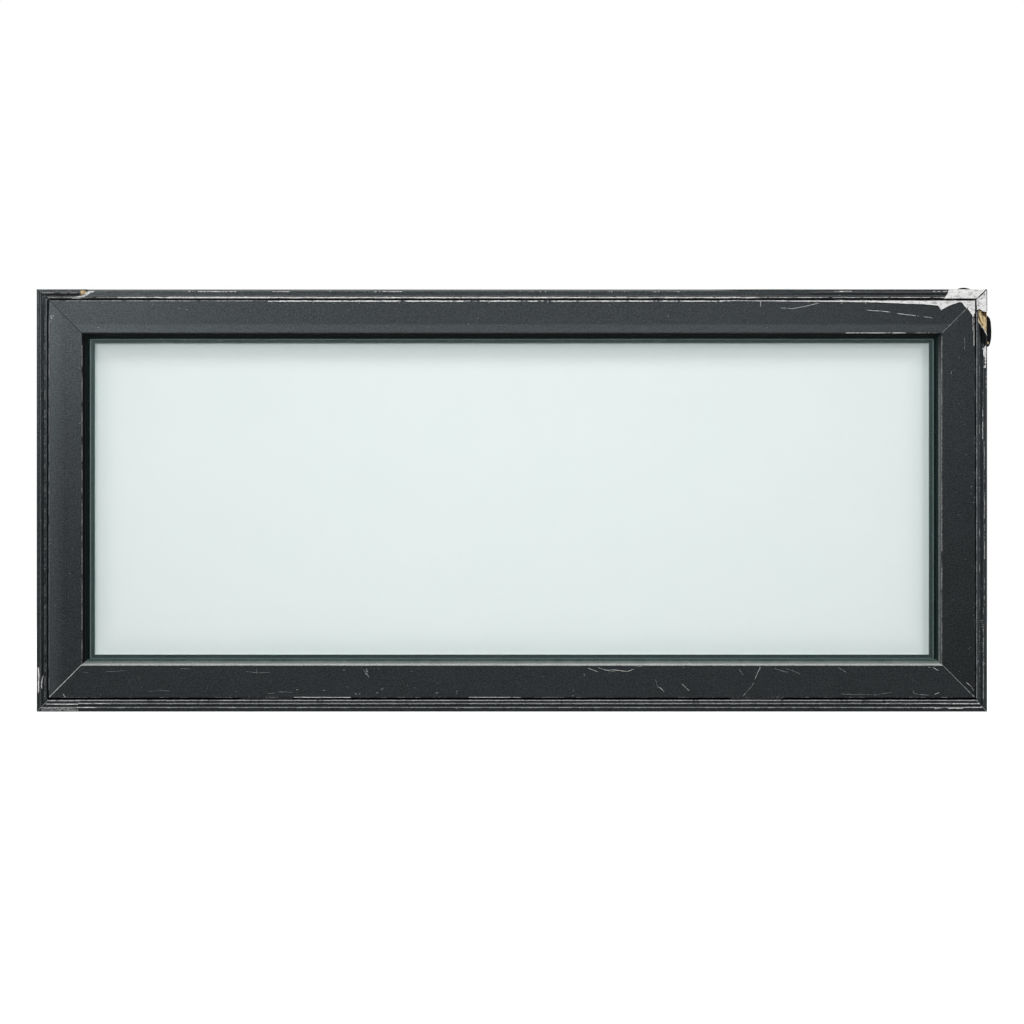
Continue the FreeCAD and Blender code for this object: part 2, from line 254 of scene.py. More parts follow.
# Grey worn edges; along arrises and beads some of these lines also paint highlights.
WORN_GREY_AND_HIGHLIGHTS = [
    (SILL, 15.9, 1.15, 78, 970, 0.95),
    (SILL, 8.1, 1.0, 96, 970, 0.62),
    (SILL, 3.3, 2.2, 41, 78, 0.95),
    (SILL, 7.2, 1.5, 41, 78, 0.8),
    (LEFT_JAMB, 16.2, 0.7, 300, 700, 0.6),
    (LEFT_JAMB, 8.3, 0.7, 300, 700, 0.32),
    (RIGHT_JAMB, 14.8, 0.8, 350, 700, 0.5),
    (RIGHT_JAMB, 20.0, 0.7, 312, 698, 0.85),
    (RIGHT_JAMB, 5.8, 1.0, 440, 600, 0.6),
    (RIGHT_JAMB, 7.8, 1.0, 600, 700, 0.65),
    (HEAD, 7.2, 0.9, 42, 80, 0.85),
    (HEAD, 4.0, 0.6, 100, 800, 0.22),
    (TOP_RAIL, 2.0, 0.9, 52, 272, 0.85),
    (BOTTOM_RAIL, 0.9, 0.6, 60, 960, 0.5),
    (BOTTOM_RAIL, 62.2, 0.8, 84, 940, 0.8),
    (TOP_RAIL, 63.8, 0.8, 908, 937, 0.55),
    (LEFT_STILE, 0.8, 0.6, 310, 690, 0.8),
    (LEFT_STILE, 64.4, 0.6, 345, 664, 0.75),
    (RIGHT_STILE, 0.9, 0.5, 345, 690, 0.45),
    (RIGHT_STILE, 64.5, 0.7, 336, 664, 0.85),
]

# Painted shade: dark strips in the gap above and left of the sash and in the grooves of the left jamb and
# the head, given in the same way
PAINTED_SHADE_GAPS = [
    (TOP_RAIL, 0.3, 0.75, 50, 973, 1.0),
    (LEFT_JAMB, 20.1, 0.6, 301, 698, 1.0),
    (LEFT_JAMB, 11.9, 1.4, 303, 690, 1.0),
    (HEAD, 11.3, 1.5, 42, 79, 1.0),
]

# Scratches, as places in the photo and a width
WHITE_SCRATCHES = [
    ([(781, 307.8), (793, 308.5), (809, 305.3), (820, 302.7)], 0.79),
    ([(867, 310.1), (880, 310.8), (891, 312)], 1),
    ([(897, 313.3), (908, 314.6), (919, 316)], 0.94),
    ([(924, 316.6), (932.7, 317.6)], 0.65),
    ([(760.7, 301.0), (760.7, 306.5)], 0.79),
    ([(63, 694), (64, 696.4), (65.6, 697.2)], 1.1),
    ([(972.9, 316.8), (973.2, 324.0), (973.4, 331.0)], 0.8),
    ([(966.5, 682.5), (971, 686), (974.0, 691)], 0.65),
    ([(928, 667), (934, 668), (939.5, 671)], 0.79),
    ([(934.5, 694.6), (939.5, 692.6)], 1.1),
    ([(588, 668.2), (598, 671.8)], 0.75),
    ([(598, 667.4), (606, 670.4), (614.6, 670.0), (627.7, 671.6), (635, 668.6)], 0.85),
    ([(760.6, 666.5), (757.0, 675.0), (752.4, 685.7)], 0.8),
    ([(659.7, 687), (664.3, 692)], 0.8),
    ([(682, 684), (689.5, 691)], 0.8),
]

# A sliver of paint that has sprung from the left jamb, as places in the photo, a width and a depth
PAINT_SLIVER = [(43.5, 675.4), (42.5, 678.0), (41.8, 680.5), (41.5, 684.0), (41.6, 688.6)]
SLIVER_WIDTH = 1.9
SLIVER_DEPTH = 1.2

# Fainter scratches, given as the white ones are
GREY_SCRATCHES = [
    ([(605, 669.6), (610, 671.6), (616, 671.2)], 0.7),
    ([(636, 666.9), (643, 666.6)], 0.65),
    ([(583.5, 673), (585, 676.4)], 0.72),
    ([(655.6, 679.5), (657, 685), (660, 689)], 0.55),
    ([(752.4, 685.7), (742.5, 697)], 0.7),
    ([(786, 669), (792, 670.4), (800, 674)], 0.55),
    ([(838, 667.5), (842, 669.5), (847, 673)], 0.6),
    ([(840, 693.8), (852, 694.6), (866, 694.4)], 0.55),
    ([(877, 694.6), (886, 693.4), (893, 692.4)], 0.6),
    ([(913, 693.0), (919, 694.6), (925, 695.0)], 0.75),
    ([(267, 693.8), (275, 693.2)], 0.65),
    ([(278, 692.2), (287, 691.8)], 0.55),
    ([(148, 691.5), (160, 690.6), (170, 691.2)], 0.45),
    ([(739, 669.3), (743.8, 675.4)], 0.65),
    ([(774.6, 668.5), (782, 671), (789, 672.6)], 0.65),
    ([(924, 694.8), (931, 695.6)], 0.72),
    ([(866, 694.6), (877, 695.2)], 0.65),
    ([(965, 337), (964.6, 343), (965.2, 350)], 0.65),
    ([(180, 668.6), (191, 669.2)], 0.58),
    ([(246, 671.5), (257, 673), (270, 672.6)], 0.58),
    ([(256, 669), (257, 674)], 0.5),
    ([(281, 692.5), (285, 691.8), (292, 692.8)], 0.65),
    ([(83, 672.4), (89, 672.8)], 0.5),
    ([(106, 672), (116, 671.3), (125, 670.6)], 0.5),
    ([(363, 669), (366, 673), (369, 677.5)], 0.79),
    ([(365.5, 668.5), (368, 671)], 0.65),
    ([(958.6, 356.0), (960.2, 358.2)], 0.6),
    ([(951.2, 374.0), (952.4, 370.4)], 0.55),
]

# Smudges of fine scuffs: the middle and the reach, in pixels of the photo, and how many
SCUFFS = [
    ((51.9, 315.8), (2.3, 0.7), 22),
    ((51.2, 317.6), (1.2, 1.2), 14),
    ((49.8, 322.0), (0.6, 1.2), 8),
    ((366.6, 673.0), (1.6, 3.2), 12),
    ((358.0, 694.0), (3.0, 0.5), 6),
    ((376.5, 692.6), (1.5, 0.6), 4),
    ((382.5, 689.0), (1.6, 0.8), 5),
    ((457.0, 691.8), (0.5, 1.8), 5),
    ((437.0, 693.0), (1.2, 0.4), 3),
    ((379.0, 669.0), (1.0, 0.4), 3),
    ((344.0, 670.2), (0.8, 0.6), 3),
]

# Single chips, as places in the photo and a size
WHITE_CHIPS = [
    (98, 327.5, 0.9), (179, 308.5, 0.6), (349, 310, 0.7), (313, 302.6, 1.0), (334, 302.9, 0.9),
    (359, 302.6, 1.1), (399, 302.4, 1.0), (489, 302.6, 1.0), (548, 302.4, 0.9), (809, 302.0, 1.1),
    (816, 301.9, 1.0), (842, 303.0, 1.1), (866, 303.4, 1.0), (840, 295, 1.1), (79.8, 423, 0.8),
    (49.6, 443.5, 0.7), (45.6, 427, 0.6), (41.1, 391, 1.2), (40.9, 398.6, 1.0), (50.5, 538.5, 0.7),
    (46.2, 665, 1.0), (232, 706.6, 1.0), (297, 690, 1.3), (324, 690.5, 1.1), (457, 708.5, 1.0),
    (574, 691, 0.9), (573, 696, 0.9), (914, 692, 0.8), (971.6, 486.5, 0.8), (971, 493.5, 0.7),
    (973.6, 502.5, 0.7), (982, 589, 0.9), (984.7, 467, 0.8), (969.5, 649, 0.8), (974, 615, 0.9),
    (982.7, 620.5, 1.9), (983.0, 626.8, 1.6), (983.1, 632.0, 1.0), (983.7, 638.0, 1.7), (983.2, 642.2, 2.0),
    (983.0, 644.4, 1.6), (982.6, 652.0, 1.1), (906, 704.4, 0.9), (912, 703.8, 0.8), (936, 709.0, 1.4),
    (982.2, 706.8, 2.0), (980.4, 707.6, 1.3), (956, 707.9, 1.6), (977.8, 663.0, 0.9), (984.4, 663.4, 1.0),
    (186.8, 309.3, 1.0), (982.6, 622.6, 1.7), (982.8, 624.6, 1.4), (983.5, 640.2, 1.7), (978.2, 601.0, 0.8),
    (973.8, 607.4, 0.8), (970.6, 647.6, 0.7), (978.6, 661.4, 1.0), (984.3, 604.8, 1.1),
]

# Patches where the paint has peeled to white, their edges, and dirt in a corner, as places in the photo
HEAD_CORNER = [(948.7, 289.4), (947.7, 293.5), (944.3, 298.6), (976.2, 298.6), (985.9, 289.4)]
JAMB_CORNER = [
    (976.6, 299.4), (986.4, 290.2), (986.7, 311.9), (983.4, 311.7), (981.6, 310.0), (979.3, 309.0),
    (977.2, 310.0),
]
RAIL_PEEL_EDGE = [
    (966.6, 308.2), (964.0, 305.0), (962.4, 302.4), (959.9, 301.9), (956.8, 303.0), (950.7, 305.0),
    (943.6, 308.6), (941.3, 310.1), (938.5, 305.4), (922.0, 304.0), (900.0, 303.2), (876.0, 302.2),
    (850.0, 301.7), (800.0, 301.3), (720.0, 300.6),
]
STILE_PEEL_EDGE = [(967.6, 308.2), (972.7, 315.2), (972.7, 317.0), (974.2, 316.5), (975.2, 313.2)]
CORNER_DIRT = [(983.0, 294.6), (984.2, 293.2), (984.6, 294.4), (984.2, 296.6)]
LEFT_JAMB_WEAR = [
    (37.5, 667.0), (38.9, 668.2), (39.6, 676.0), (38.9, 683.0), (39.2, 690.0), (38.2, 693.6), (37.6, 692.0),
]
RIGHT_JAMB_WEAR = [
    [
        (986.2, 345.4), (985.2, 346.2), (984.0, 348.2), (983.4, 351.0), (983.2, 353.6), (984.0, 356.4),
        (984.8, 358.0), (985.0, 360.4), (985.6, 361.2), (986.3, 359.0), (986.3, 352.0),
    ],
    [(986.2, 361.9), (985.0, 361.5), (984.6, 363.2), (985.8, 364.2)],
    [(986.0, 364.8), (984.4, 365.2), (983.8, 367.0), (984.6, 368.2), (985.8, 367.2)],
    [(984.0, 347.8), (982.4, 348.3), (982.2, 349.4), (983.4, 349.4)],
]

# Dark paint and torn wood at the split, as outlines or as lines with a width
DARK_CURL = [
    (978.6, 324.0), (980.6, 326.0), (982.4, 328.4), (984.8, 330.8), (986.2, 335.0), (986.4, 344.6),
    (984.8, 345.6), (981.6, 342.0), (979.8, 334.0),
]
WOOD_TOP_EDGE = [
    (977.8, 310.6), (979.2, 310.0), (980.6, 310.4), (981.8, 311.0), (982.8, 312.2), (986.6, 312.4),
]
WOOD_HOLLOW = [
    (982.0, 311.9), (986.6, 312.2), (986.6, 316.4), (984.5, 316.0), (982.6, 315.4), (981.9, 313.6),
]
WOOD_STREAKS = [
    ([(979.3, 311.4), (979.5, 315.0), (979.6, 318.0), (980.4, 319.8), (981.4, 321.4)], 1.9),
    ([(981.9, 312.0), (982.7, 316.0), (983.3, 319.0)], 1.6),
    ([(985.2, 319.4), (985.6, 321.2)], 1.9),
    ([(982.4, 322.6), (983.2, 325.4)], 0.9),
    ([(978.6, 312.0), (978.4, 316.0), (978.6, 319.4)], 0.8),
]
PALE_FIBRES = [
    ([(980.4, 311.8), (980.6, 314.0), (981.2, 316.2), (981.5, 318.2)], 2.4),
    ([(984.4, 317.4), (985.2, 318.4)], 2.2),
    ([(982.6, 319.6), (983.3, 321.4), (984.0, 323.2)], 1.5),
    ([(978.7, 320.0), (979.4, 321.8), (980.6, 323.2), (981.7, 324.9)], 2.4),
    ([(982.2, 325.6), (983.2, 326.6), (984.4, 327.4), (985.4, 328.8)], 2.3),
    ([(985.6, 323.4), (985.4, 326.6)], 1.6),
    ([(985.9, 330.0), (986.3, 331.6)], 1.5),
]
SPLINTER_TIP = [(987.2, 342.0), (988.4, 341.6), (989.3, 342.6), (988.9, 343.9), (987.4, 343.7)]

# The broken end of the head's bead, as outlines in the photo
BREAK_WHITE = [
    (71.5, 297.2), (77.0, 296.6), (81.0, 295.4), (84.0, 293.6), (88.0, 291.2), (94.0, 290.6), (93.4, 291.6),
    (90.0, 292.4), (87.0, 294.8), (83.5, 297.4), (79.0, 298.4), (72.0, 298.4),
]
BREAK_WOOD = [
    (79.5, 290.6), (84.8, 290.4), (86.4, 291.6), (83.6, 293.8), (81.0, 295.6), (79.8, 295.0), (81.2, 292.8),
]

# The blister on the head's top edge: its ends in the photo, how many rows of points it has, and its height
FLAKE_LEFT = 957.3
FLAKE_RIGHT = 970.4
FLAKE_ROWS = 15
FLAKE_HEIGHT = 2.9

# The blister's section, from front to back: depth, rise above the head's top, and share of the height
FLAKE_SECTION = [(1.9, -1.2, 0.0), (1.6, 0.0, 0.35), (2.6, 0.0, 1.0), (4.6, 0.0, 0.75), (8.0, -0.1, 0.0)]


class Graph:
    """Short ways to add and join the nodes of one material, or of the world."""

    def __init__(self, name, world=False):
        self.owner = (bpy.data.worlds if world else bpy.data.materials).new(name)
        self.owner.use_nodes = True
        self.tree = self.owner.node_tree
        self.tree.nodes.clear()
        self.output = self.node("ShaderNodeOutputWorld" if world else "ShaderNodeOutputMaterial")

    def node(self, kind, inputs=None, **settings):
        made = self.tree.nodes.new(kind)
        for key, value in settings.items():
            setattr(made, key, value)
        for key, value in (inputs or {}).items():
            self.put(made.inputs[key], value)
        return made

    def put(self, socket, value):
        """Joins a socket to another one or gives it a constant. Colours are opaque."""
        if isinstance(value, bpy.types.NodeSocket):
            self.tree.links.new(value, socket)
        elif socket.type == "RGBA":
            socket.default_value = (*value, 1.0)
        else:
            socket.default_value = value

    def place(self):
        """The point on the surface, in the window's own frame."""
        return self.node("ShaderNodeTexCoord").outputs["Object"]

    def parts(self, vector):
        """A vector's three numbers."""
        return self.node("ShaderNodeSeparateXYZ", {"Vector": vector}).outputs

    def facing(self, axis):
        """How far the surface faces along an axis, from -1 to 1."""
        return self.parts(self.node("ShaderNodeNewGeometry").outputs["Normal"])[axis]

    def stretched(self, scales, lean):
        """The point on the surface, leaned over in the window's plane and scaled along each axis."""
        inputs = {"Vector": self.place(), "Angle": lean}
        turned = self.node("ShaderNodeVectorRotate", inputs, rotation_type="Y_AXIS").outputs["Vector"]
        return self.node("ShaderNodeMapping", {"Vector": turned, "Scale": scales}).outputs["Vector"]

    def noise(self, scale, detail=3.0, rough=0.55, lean=0.0):
        """Noise from 0 to 1, with one scale or one for each axis, finer where the scale is larger."""
        scales = scale if isinstance(scale, tuple) else (scale, scale, scale)
        spot = self.stretched(scales, lean)
        inputs = {"Vector": spot, "Scale": 1.0, "Detail": detail, "Roughness": rough}
        return self.node("ShaderNodeTexNoise", inputs).outputs["Fac"]

    def math(self, operation, first, second=0.0):
        return self.node("ShaderNodeMath", {0: first, 1: second}, operation=operation).outputs[0]

    def between(self, value, low, high, to_low=0.0, to_high=1.0):
        """A value's place between two limits, kept within them."""
        inputs = {"Value": value, "From Min": low, "From Max": high, "To Min": to_low, "To Max": to_high}
        return self.node("ShaderNodeMapRange", inputs).outputs["Result"]

    def by_height(self, low_row, high_row, to_low, to_high):
        """A value that changes between two rows of the photo."""
        height_up = self.parts(self.place())["Z"]
        return self.between(height_up, up(low_row) * MM, up(high_row) * MM, to_low, to_high)

    def mix(self, share, first, second):
        """A mix of two colours, by the numbers of the node's colour sockets."""
        return self.node("ShaderNodeMix", {0: share, 6: first, 7: second}, data_type="RGBA").outputs[2]

    def bump(self, height, strength, distance):
        inputs = {"Height": height, "Strength": strength, "Distance": distance * MM}
        return self.node("ShaderNodeBump", inputs).outputs["Normal"]

    def dust(self, low, high, most):
        """How much dust lies here: more on sloping ledges, less on level tops, in uneven amounts."""
        patchy = self.between(self.noise(55.0, 4.0), 0.3, 0.6, 0.55, 1.0)
        facing_up = self.facing("Z")
        ledge = self.between(facing_up, low, high, 0.0, most)
        level_top = self.between(facing_up, 0.75, 1.0, 1.0, 0.15)
        return self.math("MULTIPLY", patchy, self.math("MULTIPLY", ledge, level_top))

    def sash_inward(self):
        """Distance in from the sash's outer edge, in metres."""
        place = self.parts(self.place())
        from_side = self.math("SUBTRACT", SASH_SIDE * MM, self.math("ABSOLUTE", place["X"]))
        from_bottom = self.math("SUBTRACT", place["Z"], SASH_BOTTOM * MM)
        from_top = self.math("SUBTRACT", SASH_TOP * MM, place["Z"])
        return self.math("MINIMUM", from_side, self.math("MINIMUM", from_bottom, from_top))

    def from_spacer(self):
        """Distance in from the spacer bar's outer edge, in metres."""
        place = self.parts(self.place())
        from_side = self.math("SUBTRACT", SPACER_REACH_X * MM, self.math("ABSOLUTE", place["X"]))
        off_middle = self.math("ABSOLUTE", self.math("SUBTRACT", place["Z"], GLASS_MIDDLE_Z * MM))
        return self.math("MINIMUM", from_side, self.math("SUBTRACT", SPACER_REACH_Z * MM, off_middle))

    def band(self, value, low, high, soft):
        """1 between two limits, falling to 0 over a soft edge outside them. All are in millimetres."""
        rising = self.between(value, (low - soft) * MM, low * MM)
        falling = self.between(value, high * MM, (high + soft) * MM, 1.0, 0.0)
        return self.math("MULTIPLY", rising, falling)

    def surface(self, **inputs):
        """Ends the material in one shader, with spaces in a socket's name written as underscores."""
        named = {key.replace("_", " "): value for key, value in inputs.items()}
        return self.end(self.node("ShaderNodeBsdfPrincipled", named))

    def end(self, shader):
        self.tree.links.new(shader.outputs[0], self.output.inputs["Surface"])
        return self.owner


def grey(level, cool=1.0):
    """A grey, cooler the larger the second number."""
    return (level, level * (1 + 0.12 * cool), level * (1 + 0.18 * cool))


def along(axis, fine, coarse):
    """Noise scales for streaks that run along one axis."""
    return tuple(coarse if letter == axis else fine for letter in "XYZ")


WHITE = grey(1.0, 0.0)
BLACK = grey(0.0)
DUST_COLOUR = (0.34, 0.35, 0.33)
PAINT_GLOSS = (0.83, 0.94, 1.0)
GRAIN_GLOSS = (0.31, 0.353, 0.372)
SHADED_RECESS_GLOSS = (0.08, 0.09, 0.09)
PAINT_SPECULAR = 0.352

# Rubbed, dusty or painted-light bands: two distances in from the sash's edge, the soft margins' width, and
# the colour
TOP_RAIL_RUB = (50.0, 60.0, 5.0, grey(0.026))
LEFT_STILE_RUB = (0.0, 9.0, 22.0, grey(0.028))
# Painted light: the right bevel's band stands for light falling on it from the left.
RIGHT_BEVEL_PAINTED_LIGHT = (65.4, 69.8, 0.3, (0.13, 0.15, 0.14))
# Dust on the bottom bevel, brightened as a painted highlight, and darker and greener at its foot.
BOTTOM_BEVEL_DUST_AND_HIGHLIGHT = (62.0, 66.6, 0.3, (0.47, 0.48, 0.465))
BOTTOM_BEVEL_FOOT_DUST_AND_HIGHLIGHT = (66.9, 71.0, 0.3, (0.085, 0.115, 0.105))
# Painted highlight on the left jamb's bead.
LEFT_BEAD_PAINTED_HIGHLIGHT = (-16.4, -13.0, 0.5, grey(0.042))
# Painted light on the right jamb's landing, reflected from the left.
RIGHT_LANDING_PAINTED_LIGHT = (-6.2, -2.0, 0.4, grey(0.036))

# The height above which hardly any dust lies on the sill
SILL_DUST_TOP = 22.9


def rubbed(graph, colour, colour_bands, grain, shade_under_head):
    """A colour with rubbed, dusty or painted-light bands over it, which can fade out towards the head as
    painted shade under it.
    """
    inward = graph.sash_inward()
    uneven = graph.between(grain, 0.3, 0.65, 0.55, 1.0)
    for low, high, soft, band_colour in colour_bands:
        share = graph.math("MULTIPLY", graph.band(inward, low, high, soft), uneven)
        # Painted shade under the head: the bands fade out towards it.
        if shade_under_head:
            share = graph.math("MULTIPLY", share, graph.by_height(*HEAD_SHADE_ROWS, 1.0, 0.05))
        colour = graph.mix(share, colour, band_colour)
    return colour


def black_paint(
    name,
    axis,
    *colour_bands,
    painted_shade_recess=False,
    painted_light_haze=0.0,
    painted_shade_foot=0.0,
    shade_under_head=False,
    dust_top=None,
    dustiest=0.8,
):
    """Satin black paint with a fine grain, brushed along the length of its member, with dust on its ledges.

    Rubbed, dusty or painted-light bands of another colour can lie over it, and fade out towards the head as
    painted shade under it. The recess beside the glass can be painted shade: dead black and nearly without
    gloss. The paint can be greyed as painted reflected light, and the foot can lose a given share of its
    gloss, as painted shade. Above the dust's top, in millimetres, hardly any dust lies, and the dustiest
    ledge is covered to that share.
    """
    graph = Graph(name)
    streaks = graph.noise(along(axis, 420.0, 7.0), 2.0)
    mottle = graph.noise(16.0, 5.0)
    grain = graph.noise(380.0, 1.5, 0.6)
    tone = graph.math("ADD", graph.math("MULTIPLY", mottle, 0.6), graph.math("MULTIPLY", streaks, 0.4))
    # Greying the paint stands for painted reflected light.
    paint = graph.mix(graph.between(tone, 0.35, 0.65), grey(0.0035 + 0.7 * painted_light_haze), grey(0.0065 + 1.3 * painted_light_haze))
    dust = graph.dust(0.32, 0.6, dustiest)
    if dust_top is not None:
        height_up = graph.parts(graph.place())["Z"]
        below = graph.between(height_up, (dust_top - 0.3) * MM, dust_top * MM, 1.0, 0.05)
        dust = graph.math("MULTIPLY", dust, below)
    colour = rubbed(graph, graph.mix(dust, paint, DUST_COLOUR), colour_bands, grain, shade_under_head)
    gloss = graph.mix(graph.between(grain, 0.365, 0.635), GRAIN_GLOSS, PAINT_GLOSS)
    # Painted shade: the gloss is lost towards the foot.
    if painted_shade_foot:
        gloss = graph.mix(graph.by_height(*FOOT_SHADE_ROWS, painted_shade_foot, 0.0), gloss, BLACK)
    # Painted shade in the recess beside the glass: dead black, nearly without gloss.
    if painted_shade_recess:
        recess = graph.between(graph.sash_inward(), SASH_FACE * MM, (SASH_FACE + 0.3) * MM)
        gloss = graph.mix(recess, gloss, SHADED_RECESS_GLOSS)
        colour = graph.mix(recess, colour, grey(0.0015))
    height = graph.math("ADD", grain, graph.math("MULTIPLY", streaks, 0.5))
    satin = graph.between(graph.math("ADD", tone, grain), 0.7, 1.3, 0.285, 0.35)
    weathered = graph.between(graph.facing("Z"), 0.9, 1.0, 0.0, 0.8)
    dulled = graph.math("MAXIMUM", weathered, graph.between(dust, 0.0, 0.5, 0.0, 0.9))
    return graph.surface(
        Base_Color=colour,
        Roughness=graph.math("MAXIMUM", satin, dulled),
        Specular_IOR_Level=PAINT_SPECULAR,
        Specular_Tint=gloss,
        Normal=graph.bump(height, 0.5, 0.25),
    )


def rubber(name, level):
    """Green-black rubber, greyer where dust lies on it."""
    graph = Graph(name)
    mottle = graph.noise(60.0, 4.0)
    grain = graph.noise(900.0, 2.0)
    dark = (level * 0.5, level * 1.1, level * 1.0)
    pale = (level, level * 2.1, level * 1.9)
    dust = graph.dust(0.25, 0.5, 0.9)
    return graph.surface(
        Base_Color=graph.mix(dust, graph.mix(mottle, dark, pale), (0.075, 0.11, 0.098)),
        Roughness=graph.between(mottle, 0.3, 0.7, 0.6, 0.8),
        Specular_IOR_Level=0.06,
        Normal=graph.bump(grain, 0.2, 0.1),
    )


def obscure_glass():
    """The pale, satin inner pane, dimmer towards its top and darker towards its edges: both painted shade.
    """
    graph = Graph("obscure_glass")
    cloud = graph.noise(5.0)
    grain = graph.noise(1500.0, 2.0)
    height_up = graph.parts(graph.place())["Z"]
    # Painted shade: the upper tints are dimmer than the lower ones.
    lower = graph.mix(cloud, (0.83, 0.878, 0.868), (0.85, 0.892, 0.882))
    upper = graph.mix(cloud, (0.75, 0.793, 0.788), (0.77, 0.807, 0.802))
    clean = graph.mix(graph.between(height_up, *PANE_SHADE_FADE), lower, upper)
    # Painted shade near the spacer bar, stronger towards the top, in a greener grey.
    edge_shade_end = SPACER_WIDTH + PANE_EDGE_SHADE_REACH
    near_edge = graph.between(graph.from_spacer(), SPACER_WIDTH * MM, edge_shade_end * MM, 1.0, 0.0)
    strength = graph.by_height(*PANE_EDGE_SHADE_ROWS, 0.16, 0.30)
    edge_shade = graph.math("MULTIPLY", graph.math("POWER", near_edge, 1.6), strength)
    return graph.surface(
        Base_Color=graph.mix(edge_shade, clean, (0.305, 0.395, 0.375)),
        Roughness=0.5,
        Specular_IOR_Level=0.3,
        Normal=graph.bump(grain, 0.1, 0.05),
    )


def clear_glass():
    """The clear outer pane: see-through, a little green, with a mirror's share at its faces."""
    graph = Graph("clear_glass")
    tint = graph.mix(graph.noise(9.0), (0.982, 0.993, 0.991), (0.988, 0.996, 0.994))
    through = graph.node("ShaderNodeBsdfTransparent", {"Color": tint})
    mirror = graph.node("ShaderNodeBsdfGlossy", {"Color": WHITE, "Roughness": 0.09})
    share = graph.node("ShaderNodeFresnel", {"IOR": 1.06})
    faces = {0: share.outputs[0], 1: through.outputs[0], 2: mirror.outputs[0]}
    return graph.end(graph.node("ShaderNodeMixShader", faces))


def spacer_bar():
    """Dull green metal with a paler line near its outer edge, and pale on the rear parts of its sides."""
    graph = Graph("spacer_bar")
    line = graph.band(graph.from_spacer(), 0.8, 2.2, 0.7)
    streaks = graph.noise(90.0, 4.0)
    metal = graph.mix(streaks, (0.014, 0.029, 0.028), (0.025, 0.044, 0.042))
    front = graph.mix(line, metal, (0.092, 0.138, 0.132))
    side = graph.between(graph.math("ABSOLUTE", graph.facing("Y")), 0.3, 0.6, 1.0, 0.0)
    depth = graph.parts(graph.place())["Y"]
    rear = graph.between(depth, (SPACER_DARK_END - 0.5) * MM, (SPACER_DARK_END + 0.5) * MM)
    pale = graph.mix(streaks, (0.58, 0.66, 0.64), (0.66, 0.74, 0.72))
    colour = graph.mix(side, front, graph.mix(rear, metal, pale))
    return graph.surface(Base_Color=colour, Roughness=0.45, Specular_IOR_Level=0.2)


def white_primer():
    """The chalky undercoat where the black paint has gone, with brush marks and grey smudges."""
    graph = Graph("white_primer")
    brush = graph.noise((60.0, 60.0, 700.0))
    smudge = graph.noise((110.0, 110.0, 190.0), 5.0, 0.65)
    grain = graph.noise(900.0, 2.0)
    clean = graph.mix(graph.between(brush, 0.3, 0.7), (0.62, 0.62, 0.61), (0.83, 0.83, 0.825))
    return graph.surface(
        Base_Color=graph.mix(graph.between(smudge, 0.49, 0.65, 0.0, 0.8), clean, (0.24, 0.245, 0.245)),
        Roughness=0.75,
        Specular_IOR_Level=0.2,
        Normal=graph.bump(graph.math("ADD", brush, grain), 0.3, 0.2),
    )


def mottled(name, scale, detail, limits, colours, roughness, specular):
    """A dull surface that varies between two colours, with the noise spread between two limits."""
    graph = Graph(name)
    mottle = graph.noise(scale, detail)
    return graph.surface(
        Base_Color=graph.mix(graph.between(mottle, *limits), *colours),
        Roughness=graph.between(mottle, 0.3, 0.7, *roughness),
        Specular_IOR_Level=specular,
    )


def packer_plastic():
    colours = (grey(0.012), grey(0.022))
    return mottled("packer_plastic", 90.0, 4.0, (0.0, 1.0), colours, (0.45, 0.6), 0.5)


def scuffs_and_painted_highlights():
    """Paint that has been rubbed to grey, which on some arrises and beads also paints highlights."""
    colours = (grey(0.11, 0.5), grey(0.42, 0.2))
    return mottled("scuffs_and_painted_highlights", 300.0, 4.0, (0.35, 0.65), colours, (0.55, 0.75), 0.15)


def pale_edge():
    """Edges and joints where the paint is rubbed nearly to the undercoat."""
    colours = (grey(0.26, 0.3), grey(0.58, 0.1))
    return mottled("pale_edge", 220.0, 4.0, (0.35, 0.65), colours, (0.55, 0.75), 0.15)


def dark_paint_edge_and_shade():
    """The dark broken edge of the paint beside bare patches and in joints, and painted shade in gaps and
    grooves.
    """
    colours = (grey(0.002), grey(0.007))
    return mottled("dark_paint_edge_and_shade", 250.0, 3.0, (0.0, 1.0), colours, (0.5, 0.7), 0.03)


def wood_noise(graph, across_grain, along_grain):
    """Streaks that lean across the jamb, as the torn wood's fibres do."""
    return graph.noise((across_grain, across_grain, along_grain), 4.0, 0.6, WOOD_LEAN)


def bare_wood():
    """Split softwood: pale fibres with brown streaks between them."""
    graph = Graph("bare_wood")
    fibre = wood_noise(graph, 900.0, 90.0)
    streak = wood_noise(graph, 330.0, 60.0)
    pale = graph.mix(graph.between(fibre, 0.3, 0.7), (0.40, 0.28, 0.125), (0.72, 0.58, 0.35))
    colour = graph.mix(graph.between(streak, 0.5, 0.64), pale, (0.15, 0.078, 0.034))
    bump = graph.bump(fibre, 0.6, 0.5)
    return graph.surface(Base_Color=colour, Roughness=0.8, Specular_IOR_Level=0.15, Normal=bump)


def pale_wood():
    """Fresh, nearly white fibres in the split."""
    graph = Graph("pale_wood")
    fibre = wood_noise(graph, 900.0, 120.0)
    colour = graph.mix(graph.between(fibre, 0.3, 0.7), (0.56, 0.45, 0.26), (0.84, 0.77, 0.57))
    bump = graph.bump(fibre, 0.5, 0.4)
    return graph.surface(Base_Color=colour, Roughness=0.8, Specular_IOR_Level=0.15, Normal=bump)


